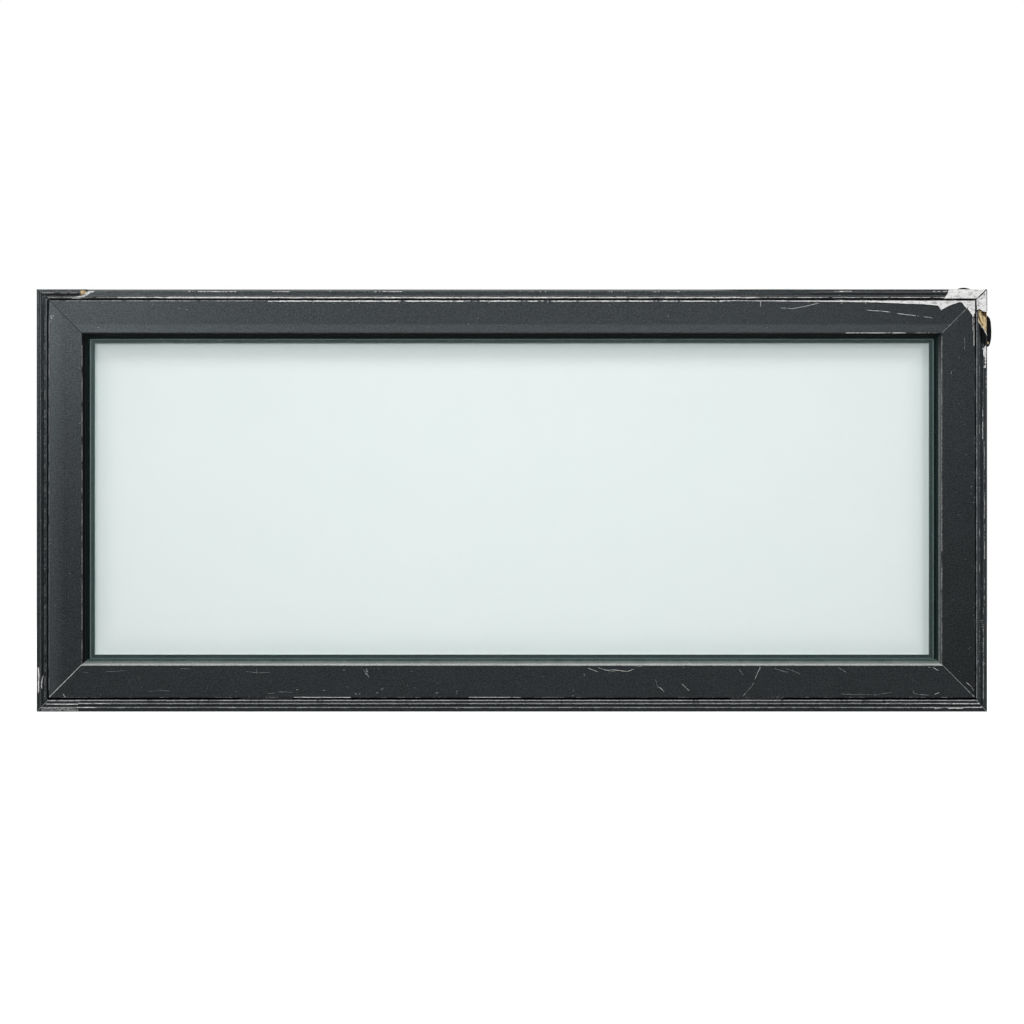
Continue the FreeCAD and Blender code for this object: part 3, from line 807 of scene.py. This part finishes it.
def dark_wood():
    """Dark brown wood: the split's dark streaks, and painted shade in the hollow at its top."""
    graph = Graph("dark_wood")
    fibre = wood_noise(graph, 700.0, 90.0)
    colour = graph.mix(graph.between(fibre, 0.3, 0.7), (0.022, 0.014, 0.009), (0.10, 0.058, 0.028))
    return graph.surface(Base_Color=colour, Roughness=0.85, Specular_IOR_Level=0.1)


def across(pixel):
    """Millimetres right of the window's middle, from a column of the photo."""
    return (pixel - PHOTO_MIDDLE_X) * PIXEL


def up(pixel):
    """Millimetres above the window's foot, from a row of the photo."""
    return (PHOTO_FOOT_Y - pixel) * PIXEL


def places(pixels):
    return [(across(x), up(y)) for x, y in pixels]


def wobble(*spot):
    """Smooth noise from about -1 to 1 at a place."""
    return noise.noise(Vector(spot))


def round_depth(u, radius):
    """How far a rounded edge falls back at a distance in from it."""
    if u >= radius:
        return 0.0
    return radius - math.sqrt(radius**2 - (radius - max(u, 0.0)) ** 2)


def crown_depth(u, start, end, foot, rise):
    """Depth of a bead at a distance in from the outer edge."""
    share = (u - start) / (end - start)
    turn = 0.5 - math.sin(math.asin(1 - 2 * share) / 3)
    return foot - 4 * rise * turn * (1 - turn)


def moulding_depth(u):
    """Depth of the frame's front at a distance in from its outer edge."""
    if u < FILLET_END:
        return FILLET_DEPTH + round_depth(u, OUTER_ROUND)
    if u < BEAD_END:
        return crown_depth(u, FILLET_END, BEAD_END, BEAD_FOOT, BEAD_FOOT)
    if u < GROOVE_END:
        return GROOVE_DEPTH
    if u < RIDGE_END:
        return crown_depth(u, GROOVE_END, RIDGE_END, RIDGE_FOOT, RIDGE_RISE)
    return LANDING_DEPTH


def head_depth(x, u):
    """Depth of the head's front, with the broken bead taken away."""
    whole = moulding_depth(u)
    if u > GROOVE_END or not BREAK_LEFT < x < BREAK_RIGHT:
        return whole
    floor = GROOVE_DEPTH + BREAK_FALL * max(0.0, 1 - u / BREAK_EDGE)
    end_share = min((x - BREAK_LEFT) / BREAK_SHORT_END, (BREAK_RIGHT - x) / BREAK_LONG_END, 1.0)
    taper = BREAK_TAPER_START + (BREAK_TAPER_END - BREAK_TAPER_START) * end_share
    return max(whole, min(floor, taper))


def sash_depth(u):
    """Depth of the sash's front at a distance in from its outer edge."""
    return SASH_DEPTH + round_depth(u, SASH_OUTER_ROUND) + round_depth(SASH_FACE - u, SASH_INNER_ROUND)


def sash_inward(x, z):
    """Distance in from the sash's outer edge."""
    return min(SASH_SIDE - abs(x), z - SASH_BOTTOM, SASH_TOP - z)


def front_depth(x, z):
    """Depth of the window's front at a place."""
    sash_in = sash_inward(x, z)
    if sash_in >= 0:
        return sash_depth(sash_in)
    from_top = HEIGHT - z
    frame_in = min(WIDTH / 2 - abs(x), z, from_top)
    if frame_in == from_top:
        return head_depth(x, frame_in)
    return moulding_depth(frame_in)


def filled_depth(x, z):
    """Depth of the thick undercoat at the top right corner, which fills the moulding there."""
    frame_in = min(WIDTH / 2 - x, HEIGHT - z)
    return FILLED_DEPTH + round_depth(frame_in, OUTER_ROUND) + 0.15 * wobble(x * 0.12, z * 0.3, 2.0)


def split_depth(x, z):
    """Depth of the torn wood in the right jamb: fibres that run down it, and a hollow at the top."""
    frame_in = WIDTH / 2 - x
    down = HEIGHT - z
    fibres = 1.3 * wobble(frame_in * 0.8, down * 0.05, 4.0) + 0.6 * wobble(frame_in * 2.3, down * 0.12, 9.0)
    off_side = (frame_in - HOLLOW_INWARD) / HOLLOW_REACH
    off_height = (down - HOLLOW_DOWN) / HOLLOW_REACH
    hollow = HOLLOW_DEPTH * math.exp(-(off_side**2) - off_height**2)
    return min(SPLIT_DEPTH - 0.1, TORN_DEPTH + fibres + hollow)


class Film:
    """Thin layers that lie on the window, gathered into one mesh. Points are x, depth and z."""

    def __init__(self):
        self.points = []
        self.faces = []

    def band(self, rows):
        """Joins rows of points, all of one length, side by side."""
        start = len(self.points)
        width = len(rows[0])
        for row in rows:
            self.points.extend(row)
        for i in range(len(rows) - 1):
            for j in range(width - 1):
                corner = start + i * width + j
                self.faces.append((corner, corner + 1, corner + width + 1, corner + width))

    def ridge(self, path, widths, lift=MARK_LIFT, depth=front_depth, foot=None):
        """A low ridge along a path of places, with its own width to either side at each.

        Its edges turn in to the depth of the foot, which is the depth it follows unless another is given.
        """
        foot = foot or depth
        rows = []
        for i, ((x, z), (one, other)) in enumerate(zip(path, widths)):
            before = path[max(i - 1, 0)]
            after = path[min(i + 1, len(path) - 1)]
            run = math.hypot(after[0] - before[0], after[1] - before[1]) or 1.0
            side = (-(after[1] - before[1]) / run, (after[0] - before[0]) / run)
            level = ((-MARK_LEVEL * one, lift), (MARK_LEVEL * other, lift))
            row = []
            for reach, rise in ((-one, -MARK_SINK), *level, (other, -MARK_SINK)):
                spot = (x + side[0] * reach, z + side[1] * reach)
                carrier = depth if rise > 0 else foot
                row.append((spot[0], carrier(*spot) - rise, spot[1]))
            rows.append(row)
        if len(rows) > 1:
            self.band(rows)

    def chip(self, x, z, size, seed):
        """A small flake of uneven outline."""
        start = len(self.points)
        corners = 7
        self.points.append((x, front_depth(x, z) - MARK_LIFT, z))
        for i in range(corners):
            turn = 2 * math.pi * i / corners
            reach = size * (0.75 + 0.45 * wobble(3.1 * i, seed, 1.0))
            spot = (x + 1.25 * reach * math.cos(turn), z + 0.8 * reach * math.sin(turn))
            self.points.append((spot[0], front_depth(*spot) + MARK_SINK, spot[1]))
            self.faces.append((start, start + 1 + i, start + 1 + (i + 1) % corners))

    def patch(self, outline, depth=front_depth, lift=MARK_LIFT, cell=2.0, foot=MARK_SINK):
        """A layer inside an outline, in small cells that follow the surface, with its edges turned in."""
        work = bmesh.new()
        work.faces.new([work.verts.new((x, 0.0, z)) for x, z in outline])
        bmesh.ops.triangulate(work, faces=work.faces[:])
        for axis in (Vector((1, 0, 0)), Vector((0, 0, 1))):
            reach = [vert.co.dot(axis) for vert in work.verts]
            for level in np.arange(min(reach) + cell, max(reach), cell):
                whole = work.verts[:] + work.edges[:] + work.faces[:]
                bmesh.ops.bisect_plane(work, geom=whole, plane_co=axis * level, plane_no=axis, dist=0.001)
        border = [edge for edge in work.edges if edge.is_boundary]
        for vert in work.verts:
            vert.co.y = depth(vert.co.x, vert.co.z) - lift
        turned = bmesh.ops.extrude_edge_only(work, edges=border)["geom"]
        for vert in turned:
            if isinstance(vert, bmesh.types.BMVert):
                vert.co.y += lift + foot
        start = len(self.points)
        work.verts.index_update()
        self.points.extend(tuple(vert.co) for vert in work.verts)
        self.faces.extend(tuple(start + vert.index for vert in face.verts) for face in work.faces)
        work.free()

    def mesh(self, name, turn):
        """The gathered layers as a mesh, with its faces turned by a function."""
        mesh = bpy.data.meshes.new(name)
        points = [(x * MM, (FRONT + depth) * MM, z * MM) for x, depth, z in self.points]
        mesh.from_pydata(points, [], self.faces)
        work = bmesh.new()
        work.from_mesh(mesh)
        turn(work)
        work.to_mesh(mesh)
        work.free()
        return mesh

    def piece(self, name, material, slot):
        """Makes the gathered layers one piece of the window."""
        return add_piece(name, self.mesh(name, turn_forward), material)


def turn_forward(work):
    """Turns every face of a mesh to the front."""
    bmesh.ops.reverse_faces(work, faces=[face for face in work.faces if face.normal.y > 0])


def turn_outward(work):
    """Closes a mesh's seams and turns every face out."""
    bmesh.ops.remove_doubles(work, verts=work.verts[:], dist=0.00001)
    bmesh.ops.recalc_face_normals(work, faces=work.faces[:])


def add_piece(name, mesh, material):
    mesh.materials.append(material)
    piece = bpy.data.objects.new(name, mesh)
    bpy.context.scene.collection.objects.link(piece)
    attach(piece, "root")
    return piece


def resampled(path, step):
    """Places at even steps along a path."""
    dense = []
    for (x0, z0), (x1, z1) in zip(path, path[1:]):
        count = max(1, round(math.hypot(x1 - x0, z1 - z0) / step))
        for i in range(count):
            share = i / count
            dense.append((x0 + (x1 - x0) * share, z0 + (z1 - z0) * share))
    return dense + [path[-1]]


def ragged(outline, amount=0.45, seed=0.0):
    """An outline with torn edges."""
    dense = resampled(outline + outline[:1], MARK_STEP)[:-1]
    moved = []
    for x, z in dense:
        shift_x = amount * (wobble(x * 0.35, z * 0.35, seed) + 0.6 * wobble(x * 1.1, z * 1.1, seed + 3))
        shift_z = amount * (wobble(x * 0.35, z * 0.35, seed + 7) + 0.6 * wobble(x * 1.1, z * 1.1, seed + 5))
        moved.append((x + shift_x, z + shift_z))
    return moved


def kept_inside(outline, left, right, bottom, top):
    return [(min(max(x, left), right), min(max(z, bottom), top)) for x, z in outline]


def torn(step, seed):
    """A share of a width that jumps about along a torn edge."""
    return 0.85 + 0.5 * wobble(step * 0.37, seed, 17.0) + 0.35 * wobble(step * 0.93, seed, 23.0)


def scratch(film, pixels, width, seed, depth=front_depth):
    """A scratch through places in the photo, thin at both ends and skipping now and then."""
    path = resampled(places(pixels), MARK_STEP)
    run, widths = [], []
    for i, (x, z) in enumerate(path):
        share = i / max(1, len(path) - 1)
        taper = min(1.0, 0.35 + 5 * share, 0.35 + 5 * (1 - share))
        pressure = 0.9 + 0.6 * wobble(i * 0.17, seed, 0.0) + 0.3 * wobble(i * 0.6, seed, 4.0)
        if pressure < SCRATCH_BREAK:
            film.ridge(run, widths, MARK_LIFT, depth)
            run, widths = [], []
            continue
        sway = 0.25 * wobble(i * 0.3, seed, 8.0)
        half = 0.5 * width * taper * pressure
        run.append((x + sway, z + sway))
        widths.append((half * torn(i, seed), half * torn(i, seed + 20)))
    film.ridge(run, widths, MARK_LIFT, depth)


def sliver_depth(x, z):
    """Depth of a sliver of paint that lies on the left jamb's beads and bridges the groove between them."""
    return min(front_depth(x, z), SLIVER_DEPTH)


def thick_depth(x, z):
    """Depth of thick undercoat, flush with the sash's face or with the crown of the frame's ridge."""
    flush = SASH_DEPTH if sash_inward(x, z) >= 0 else RIDGE_FOOT - RIDGE_RISE
    return min(front_depth(x, z), flush)


def worn_line(film, side, inward, half, start, end, cover, seed, depth=front_depth):
    """Paint worn off along an edge, or painted shade or a painted highlight along it: a strip of uneven
    width with breaks.

    The side names the ring and its edge, inward is the strip's distance in from that edge, start and end
    are columns or rows of the photo, and cover runs from 0, hardly worn, to 1, worn all along.
    """
    ring, edge = side
    left, right, bottom, top = RINGS[ring]
    upright = edge in ("left", "right")
    first, last = sorted((up(start), up(end))) if upright else sorted((across(start), across(end)))
    run, widths = [], []
    for i, step in enumerate(np.arange(first, last, WEAR_STEP)):
        swell = 0.75 * wobble(step * 0.045, seed, 0.0) + 0.6 * wobble(step * 0.21, seed, 6.0)
        swell += 0.35 * wobble(step * 0.7, seed, 14.0)
        share = min(1.0, 1.3 * (swell + 1.7 * cover - 0.75))
        if share < WEAR_BREAK:
            film.ridge(run, widths, MARK_LIFT, depth, front_depth)
            run, widths = [], []
            continue
        sway = inward + 0.3 * half * wobble(step * 0.13, seed, 11.0)
        spots = {
            "left": (left + sway, step),
            "right": (right - sway, step),
            "bottom": (step, bottom + sway),
            "top": (step, top - sway),
        }
        run.append(spots[edge])
        widths.append((half * share * torn(i, seed), half * share * torn(i, seed + 20)))
    film.ridge(run, widths, MARK_LIFT, depth, front_depth)


def sash_mitre(film, side_sign, from_top, width, seed):
    """The line of a sash mitre, from the outer corner to the inner one."""
    outer_z = SASH_TOP if from_top else SASH_BOTTOM
    down = -1 if from_top else 1
    path, widths = [], []
    for reach in np.arange(MARK_STEP, MITRE_REACH, MARK_STEP):
        half = 0.5 * width * (0.9 + 0.5 * wobble(reach * 0.2, seed, 0.0))
        path.append((side_sign * (SASH_SIDE - reach), outer_z + down * reach))
        widths.append((half, half))
    film.ridge(path, widths, MITRE_LIFT)


def frame_mitre(film, side_sign, from_top, width, reach, depth=front_depth):
    """The line of a frame mitre across the moulding."""
    outer_z = HEIGHT if from_top else 0.0
    down = -1 if from_top else 1
    steps = np.arange(0.6, reach, FRAME_MITRE_STEP)
    path = [(side_sign * (WIDTH / 2 - step), outer_z + down * step) for step in steps]
    film.ridge(path, [(0.5 * width, 0.5 * width)] * len(path), MITRE_LIFT, depth)


def torn_patch(film, pixels, amount, seed, limits, **layer):
    """A layer with torn edges inside an outline in the photo, kept within limits."""
    film.patch(kept_inside(ragged(places(pixels), amount, seed), *limits), **layer)


def add_peeled_corner(white, dark):
    """Thick undercoat at the frame's top right corner, dirt along its edges, and white along the split."""
    half = WIDTH / 2 - EDGE_INSET
    top = HEIGHT - EDGE_INSET
    layer = {"depth": filled_depth, "lift": 0.0, "foot": FILLED_FOOT}
    torn_patch(white, HEAD_CORNER, 0.3, 1.0, (-half, half, HEIGHT - HEAD_FACE, top), **layer)
    torn_patch(white, JAMB_CORNER, 0.3, 2.0, (-half, half, 0.0, top), **layer)
    frame_mitre(dark, 1, True, 0.9, 19.0, filled_depth)
    torn_edge = resampled(places(WOOD_TOP_EDGE), MARK_STEP)
    thick = [0.9 + 0.5 * wobble(x * 0.4, z * 0.4, 4.0) for x, z in torn_edge]
    dark.ridge(torn_edge, [(0.6 * half_width, half_width) for half_width in thick], 0.1, filled_depth)
    dirt = resampled(places(CORNER_DIRT), 0.6)
    dark.ridge(dirt, [(0.35 + 0.3 * wobble(z, 5.0, 1.0), 0.5) for x, z in dirt], 0.1, filled_depth)
    outer_edge = [(half - 0.55, z) for z in np.arange(HEIGHT - 42.0, HEIGHT - 2.0, MARK_STEP)]
    widths = [(0.5 + 0.25 * wobble(z * 0.3, 2.0, 6.0), 0.5) for x, z in outer_edge]
    dark.ridge(outer_edge, widths, 0.12, filled_depth)
    split_edge = [(WIDTH / 2 - inward - 0.3, HEIGHT - down - 0.5) for inward, down in SPLIT_OUTLINE[4:]]
    split_edge = resampled(split_edge, MARK_STEP)
    widths = [(0.6 + 0.4 * wobble(x, z, 3.0), 0.8 + 0.5 * wobble(x, z, 8.0)) for x, z in split_edge]
    white.ridge(split_edge, widths)


def add_peeled_sash(white, dark):
    """The bare white corner of the sash, with the dark broken edge of the paint beside it."""
    right = SASH_SIDE - 0.3
    top = SASH_TOP - 0.3
    rail = resampled([(right, top)] + places(RAIL_PEEL_EDGE), MARK_STEP)
    rail = ragged(rail + [(rail[-1][0], top)], 0.4, 3.0)
    white.patch(kept_inside(rail, -SASH_SIDE, right, 0.0, top))
    stile = ragged([(right, top)] + places(STILE_PEEL_EDGE), 0.35, 4.0)
    white.patch(kept_inside(stile, 0.0, right, 0.0, top))
    for edge, seed in ((RAIL_PEEL_EDGE[:12], 5.0), (STILE_PEEL_EDGE, 6.0)):
        path = [(x - 0.25, z - 0.55) for x, z in resampled(places(edge), MARK_STEP)]
        dark.ridge(path, [(0.6, 0.8 + 0.4 * wobble(x * 0.3, z * 0.3, seed)) for x, z in path], 0.22)


def add_peeled_edges(white, dark):
    """Bare patches along the jambs' edges and at the broken end of the head's bead."""
    half = WIDTH / 2 - EDGE_INSET
    limits = (-half, half, 0.0, HEIGHT)
    torn_patch(white, LEFT_JAMB_WEAR, 0.4, 7.0, (0.2 - WIDTH / 2, half, 0.0, HEIGHT))
    for i, outline in enumerate(RIGHT_JAMB_WEAR):
        torn_patch(white, outline, 0.4, 8.0 + i, limits, cell=1.0)
    torn_patch(dark, DARK_CURL, 0.4, 15.0, limits, cell=1.0, lift=0.1)
    torn_patch(white, BREAK_WHITE, 0.4, 9.0, limits, cell=1.5)


def add_fine_specks(film):
    """Tiny pale specks all over the sash."""
    random = np.random.default_rng(7)
    made = 0
    while made < SPECK_COUNT:
        x = random.uniform(-SASH_SIDE + SPECK_MARGIN, SASH_SIDE - SPECK_MARGIN)
        z = random.uniform(SASH_BOTTOM + SPECK_MARGIN, SASH_TOP - SPECK_MARGIN)
        if SPECK_MARGIN < sash_inward(x, z) < SASH_FACE - SPECK_MARGIN:
            film.chip(x, z, 0.4 + 0.6 * random.uniform() ** 3, made * 1.7)
            made += 1


def add_scuffs(film):
    """Clusters of fine scuffs."""
    random = np.random.default_rng(11)
    for (x, y), (reach_x, reach_y), count in SCUFFS:
        for i in range(count):
            spot_x = across(x + reach_x * random.uniform(-1, 1))
            spot_z = up(y + reach_y * random.uniform(-1, 1))
            film.chip(spot_x, spot_z, random.uniform(0.5, 1.1), i * 2.3)


def add_lines(white, worn, dark, pale):
    """The worn edges, some of which also paint highlights, the painted shade in gaps and grooves, and the
    scratches, each with a seed of its own for its uneven width.
    """
    edges = (
        (white, THICK_WHITE, 1.3, 0.7, thick_depth),
        (white, WORN_WHITE, 1.3, 7.2, front_depth),
        (worn, WORN_GREY_AND_HIGHLIGHTS, 2.1, 0.4, front_depth),
        (pale, WORN_PALE, 1.1, 0.3, front_depth),
        (dark, PAINTED_SHADE_GAPS, 1.7, 0.9, front_depth),
    )
    for film, lines, seed_step, first_seed, depth in edges:
        for i, line in enumerate(lines):
            worn_line(film, *line, seed_step * i + first_seed, depth)
    for film, lines, seed_step in ((white, WHITE_SCRATCHES, 3.7), (worn, GREY_SCRATCHES, 2.9)):
        for i, (pixels, width) in enumerate(lines):
            scratch(film, pixels, width, seed_step * i)
    scratch(white, PAINT_SLIVER, SLIVER_WIDTH, 2.0, sliver_depth)


def add_marks(dark_edge_and_shade):
    """All the worn edges, scratches, chips, bare patches and mitre lines."""
    white, worn, dark, pale = Film(), Film(), Film(), Film()
    add_lines(white, worn, dark, pale)
    for i, (x, y, size) in enumerate(WHITE_CHIPS):
        white.chip(across(x), up(y), size, 1.9 * i)
    add_fine_specks(worn)
    add_scuffs(pale)
    add_peeled_corner(white, dark)
    add_peeled_sash(white, dark)
    add_peeled_edges(white, dark)
    sash_mitre(dark, -1, True, 1.1, 1.0)
    sash_mitre(worn, 1, True, 0.95, 2.0)
    sash_mitre(pale, -1, False, 1.8, 3.0)
    sash_mitre(worn, 1, False, 1.2, 4.0)
    frame_mitre(pale, -1, False, 0.8, 20.0)
    frame_mitre(pale, 1, False, 0.6, 20.0)
    frame_mitre(dark, -1, True, 0.7, 17.0)
    white.piece("peeled_paint", white_primer(), "frame_paint")
    worn.piece("scuffs_scratches_and_highlights", scuffs_and_painted_highlights(), "frame_paint")
    pale.piece("pale_joints", pale_edge(), "sash_paint")
    dark.piece("broken_edges_and_painted_shade", dark_edge_and_shade, "frame_paint")


def add_fibres(film, lines, step, lift, seeds):
    """Ridges of torn fibres in the split, with a seed for the width to either side."""
    for i, (pixels, width) in enumerate(lines):
        run = resampled(places(pixels), step)
        half = 0.5 * width
        widths = [tuple(half * torn(j, i + seed) for seed in seeds) for j in range(len(run))]
        film.ridge(run, widths, lift, split_depth)


def add_bare_wood():
    """Torn wood in the jamb's split and at the broken end of the head's bead."""
    film = Film()
    outline = [(WIDTH / 2 - inward, HEIGHT - down) for inward, down in SPLIT_OUTLINE]
    film.patch(ragged(outline, 0.25, 2.0), split_depth, 0.0, 0.8, 0.2)
    film.patch(ragged(places(BREAK_WOOD), 0.3, 4.0), front_depth, 0.2, 1.0)
    film.patch(ragged(places(SPLINTER_TIP), 0.3, 5.0), splinter_face, 0.1, 1.0)
    film.piece("bare_wood", bare_wood(), "frame_paint")
    shade = Film()
    # Painted shade: the hollow at the top of the split is dark wood.
    shade.patch(ragged(places(WOOD_HOLLOW), 0.3, 11.0), split_depth, 0.15, 1.0)
    add_fibres(shade, WOOD_STREAKS, MARK_STEP, 0.2, (0, 9))
    shade.piece("wood_streaks_and_painted_shade", dark_wood(), "frame_paint")
    fresh = Film()
    add_fibres(fresh, PALE_FIBRES, 0.8, 0.35, (3, 14))
    fresh.piece("pale_fibres", pale_wood(), "frame_paint")


def splinter_reach(down):
    """How far the splinter stands out from the jamb at a distance down from the top."""
    outs, downs = zip(*SPLINTER_OUTLINE)
    return float(np.interp(down, downs, outs))


def splinter_face(x, z):
    """Depth of the splinter's front at a place."""
    return SPLINTER_DEPTH + SPLINTER_SLOPE - min(1.0, max(0.0, x - WIDTH / 2) / 2.0)


def splinter_section(down):
    """The splinter's outline at a distance down from the top, with its root inside the jamb."""
    reach = max(0.25, splinter_reach(down) + 0.25 * wobble(down * 0.4, 1.0, 0.0))
    ridge = reach * (0.42 + 0.12 * wobble(down * 0.15, 5.0, 0.0))
    back = SPLINTER_DEPTH + SPLINTER_THICKNESS
    section = [
        (-SPLINTER_ROOT, SPLINTER_DEPTH + SPLINTER_SLOPE),
        (ridge, SPLINTER_DEPTH),
        (reach, SPLINTER_DEPTH + 1.9),
        (reach * 0.8, back - 0.6),
        (-SPLINTER_ROOT, back),
    ]
    return [(WIDTH / 2 + out, depth, HEIGHT - down) for out, depth in section]


def add_splinter(paint):
    """The strip that has sprung from the jamb's side: faceted along its length, with ragged ends."""
    first, last = SPLINTER_OUTLINE[0][1], SPLINTER_OUTLINE[-1][1]
    rows = [splinter_section(down) for down in np.arange(first, last + 0.5, SPLINTER_STEP)]
    film = Film()
    width = len(rows[0])
    film.band([row + row[:1] for row in rows])
    film.faces.append(tuple(range(width)))
    film.faces.append(tuple(len(film.points) - 1 - i for i in range(1, width + 1)))
    piece = add_piece("splinter", film.mesh("splinter", turn_outward), paint)
    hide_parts("lifted_splinter")


def add_lifted_flake(paint):
    """A blister of paint that stands up from the head's top edge near the right corner."""
    left, right = across(FLAKE_LEFT), across(FLAKE_RIGHT)
    rows = []
    for x in np.linspace(left, right, FLAKE_ROWS):
        swell = math.sin(math.pi * (x - left) / (right - left)) ** 0.8
        top = FLAKE_HEIGHT * swell * (1 + 0.2 * wobble(x * 0.4, 3.0, 0.0))
        rows.append([(x, depth, HEIGHT + rise + share * top) for depth, rise, share in FLAKE_SECTION])
    film = Film()
    film.band(rows)
    film.piece("lifted_flake", paint, "frame_paint")


def dress(material, *names):
    """Gives CAD nodes a material."""
    for name in names:
        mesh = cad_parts[name].data
        mesh.materials.clear()
        mesh.materials.append(material)


def paint_frame():
    dress(black_paint("black_paint_head", "X", dustiest=0.45), "frame_head")
    dress(black_paint("black_paint_sill", "X", dust_top=SILL_DUST_TOP), "frame_sill")
    # The left jamb's bead carries a painted highlight.
    dress(black_paint("black_paint_left_jamb", "Z", LEFT_BEAD_PAINTED_HIGHLIGHT), "frame_left_jamb")
    # The right jamb is greyed by painted reflected light, with painted light on its landing.
    dress(black_paint("black_paint_right_jamb", "Z", RIGHT_LANDING_PAINTED_LIGHT, painted_light_haze=0.012), "frame_right_jamb")


def paint_sash():
    # The top rail and left stile have painted shade in the recess beside the glass.
    dress(black_paint("black_paint_top_rail", "X", TOP_RAIL_RUB, painted_shade_recess=True), "sash_top_rail")
    dress(black_paint("black_paint_left_stile", "Z", LEFT_STILE_RUB, painted_shade_recess=True), "sash_left_stile")
    # The bottom bevel carries dust, brightened as a painted highlight.
    bottom = black_paint("black_paint_bottom_rail", "X", BOTTOM_BEVEL_DUST_AND_HIGHLIGHT, BOTTOM_BEVEL_FOOT_DUST_AND_HIGHLIGHT)
    dress(bottom, "sash_bottom_rail")
    # The right stile's bevel carries painted light that fades under the head as painted shade, and its
    # gloss fades towards the foot as painted shade.
    right = black_paint("black_paint_right_stile", "Z", RIGHT_BEVEL_PAINTED_LIGHT, painted_shade_foot=0.25, shade_under_head=True)
    dress(right, "sash_right_stile")


def paint_stops_and_splinter():
    dress(black_paint("black_paint_across", "X"), "glazing_stop_top", "glazing_stop_bottom")
    paint_up = black_paint("black_paint_up", "Z")
    dress(paint_up, "glazing_stop_left", "glazing_stop_right", "lifted_splinter")


def dress_glazing():
    gasket = rubber("gasket_rubber", 0.010)
    sealant = rubber("edge_sealant", 0.007)
    spacer = spacer_bar()
    for side in ("top", "bottom", "left", "right"):
        dress(gasket, "front_gasket_" + side, "rear_tape_" + side, "perimeter_seal_" + side)
        dress(sealant, "edge_seal_" + side)
        dress(spacer, "spacer_" + side)
    # Darker rubber for the top and left gaskets, as painted shade.
    dress(rubber("shaded_gasket_rubber", 0.004), "front_gasket_top", "front_gasket_left")
    dress(clear_glass(), "outer_pane")
    dress(obscure_glass(), "inner_pane")
    dress(packer_plastic(), "sash_packers", "setting_blocks")


def add_floor():
    mesh = bpy.data.meshes.new("floor")
    reach = FLOOR_REACH
    corners = [(-reach, -reach, 0), (reach, -reach, 0), (reach, reach, 0), (-reach, reach, 0)]
    mesh.from_pydata(corners, [], [(0, 1, 2, 3)])
    floor = bpy.data.objects.new("floor", mesh)
    bpy.context.scene.collection.objects.link(floor)
    mesh.materials.append(floor_material())


def seen_directly(graph):
    """1 for what is seen straight, in a mirror or through glass, and 0 for light that fills the scene."""
    path = graph.node("ShaderNodeLightPath")
    direct = graph.math("MAXIMUM", path.outputs["Is Camera Ray"], path.outputs["Is Glossy Ray"])
    return graph.math("MAXIMUM", direct, path.outputs["Is Transmission Ray"])


def floor_material():
    """A pale floor that shows white, keeps a soft shadow, and throws back less light than it shows."""
    graph = Graph("pale_floor")
    shown = graph.mix(graph.noise(40.0), grey(0.50, 0.0), grey(0.52, 0.0))
    direct = seen_directly(graph)
    return graph.surface(
        Base_Color=graph.mix(direct, grey(FLOOR_FILL, 0.0), shown),
        Roughness=0.9,
        Specular_IOR_Level=0.0,
        Emission_Color=WHITE,
        Emission_Strength=graph.math("MULTIPLY", direct, FLOOR_GLOW),
    )


def add_world():
    """A white world that shows brighter than it fills the scene."""
    graph = Graph("studio", world=True)
    strength = graph.between(seen_directly(graph), 0.0, 1.0, WORLD_FILL, WORLD_SHOWN)
    background = graph.node("ShaderNodeBackground", {"Color": WHITE, "Strength": strength})
    bpy.context.scene.world = graph.end(background)


def add_softbox(name, place, target, size, power):
    light = bpy.data.lights.new(name, "AREA")
    light.shape = "RECTANGLE"
    light.size, light.size_y = size
    light.energy = power
    lamp = bpy.data.objects.new(name, light)
    lamp.location = place
    lamp.rotation_euler = (Vector(target) - Vector(place)).to_track_quat("-Z", "Y").to_euler()
    lamp.visible_camera = False
    bpy.context.scene.collection.objects.link(lamp)


def add_lights():
    """Strip softboxes in front and overhead, with broad fills at the right and behind."""
    for softbox in SOFTBOXES:
        add_softbox(*softbox)


def add_camera():
    """Straight on, as far away as the photo's perspective says, with the window where the photo has it."""
    data = bpy.data.cameras.new("camera")
    data.sensor_width = SENSOR_WIDTH
    frame_width = PHOTO_SIZE * PIXEL * MM
    data.lens = SENSOR_WIDTH * CAMERA_DISTANCE / frame_width
    camera = bpy.data.objects.new("camera", data)
    camera.location = (across(PHOTO_SIZE / 2) * MM, FRONT * MM - CAMERA_DISTANCE, up(PHOTO_SIZE / 2) * MM)
    camera.rotation_euler = (math.pi / 2, 0, 0)
    bpy.context.scene.collection.objects.link(camera)
    bpy.context.scene.camera = camera


paint_frame()
paint_sash()
paint_stops_and_splinter()
dress_glazing()
dark_edge_and_shade = dark_paint_edge_and_shade()
add_marks(dark_edge_and_shade)
add_bare_wood()
add_splinter(dark_edge_and_shade)
add_lifted_flake(dark_edge_and_shade)
add_floor()
add_world()
add_lights()
add_camera()
bpy.context.scene.view_settings.view_transform = "Standard"
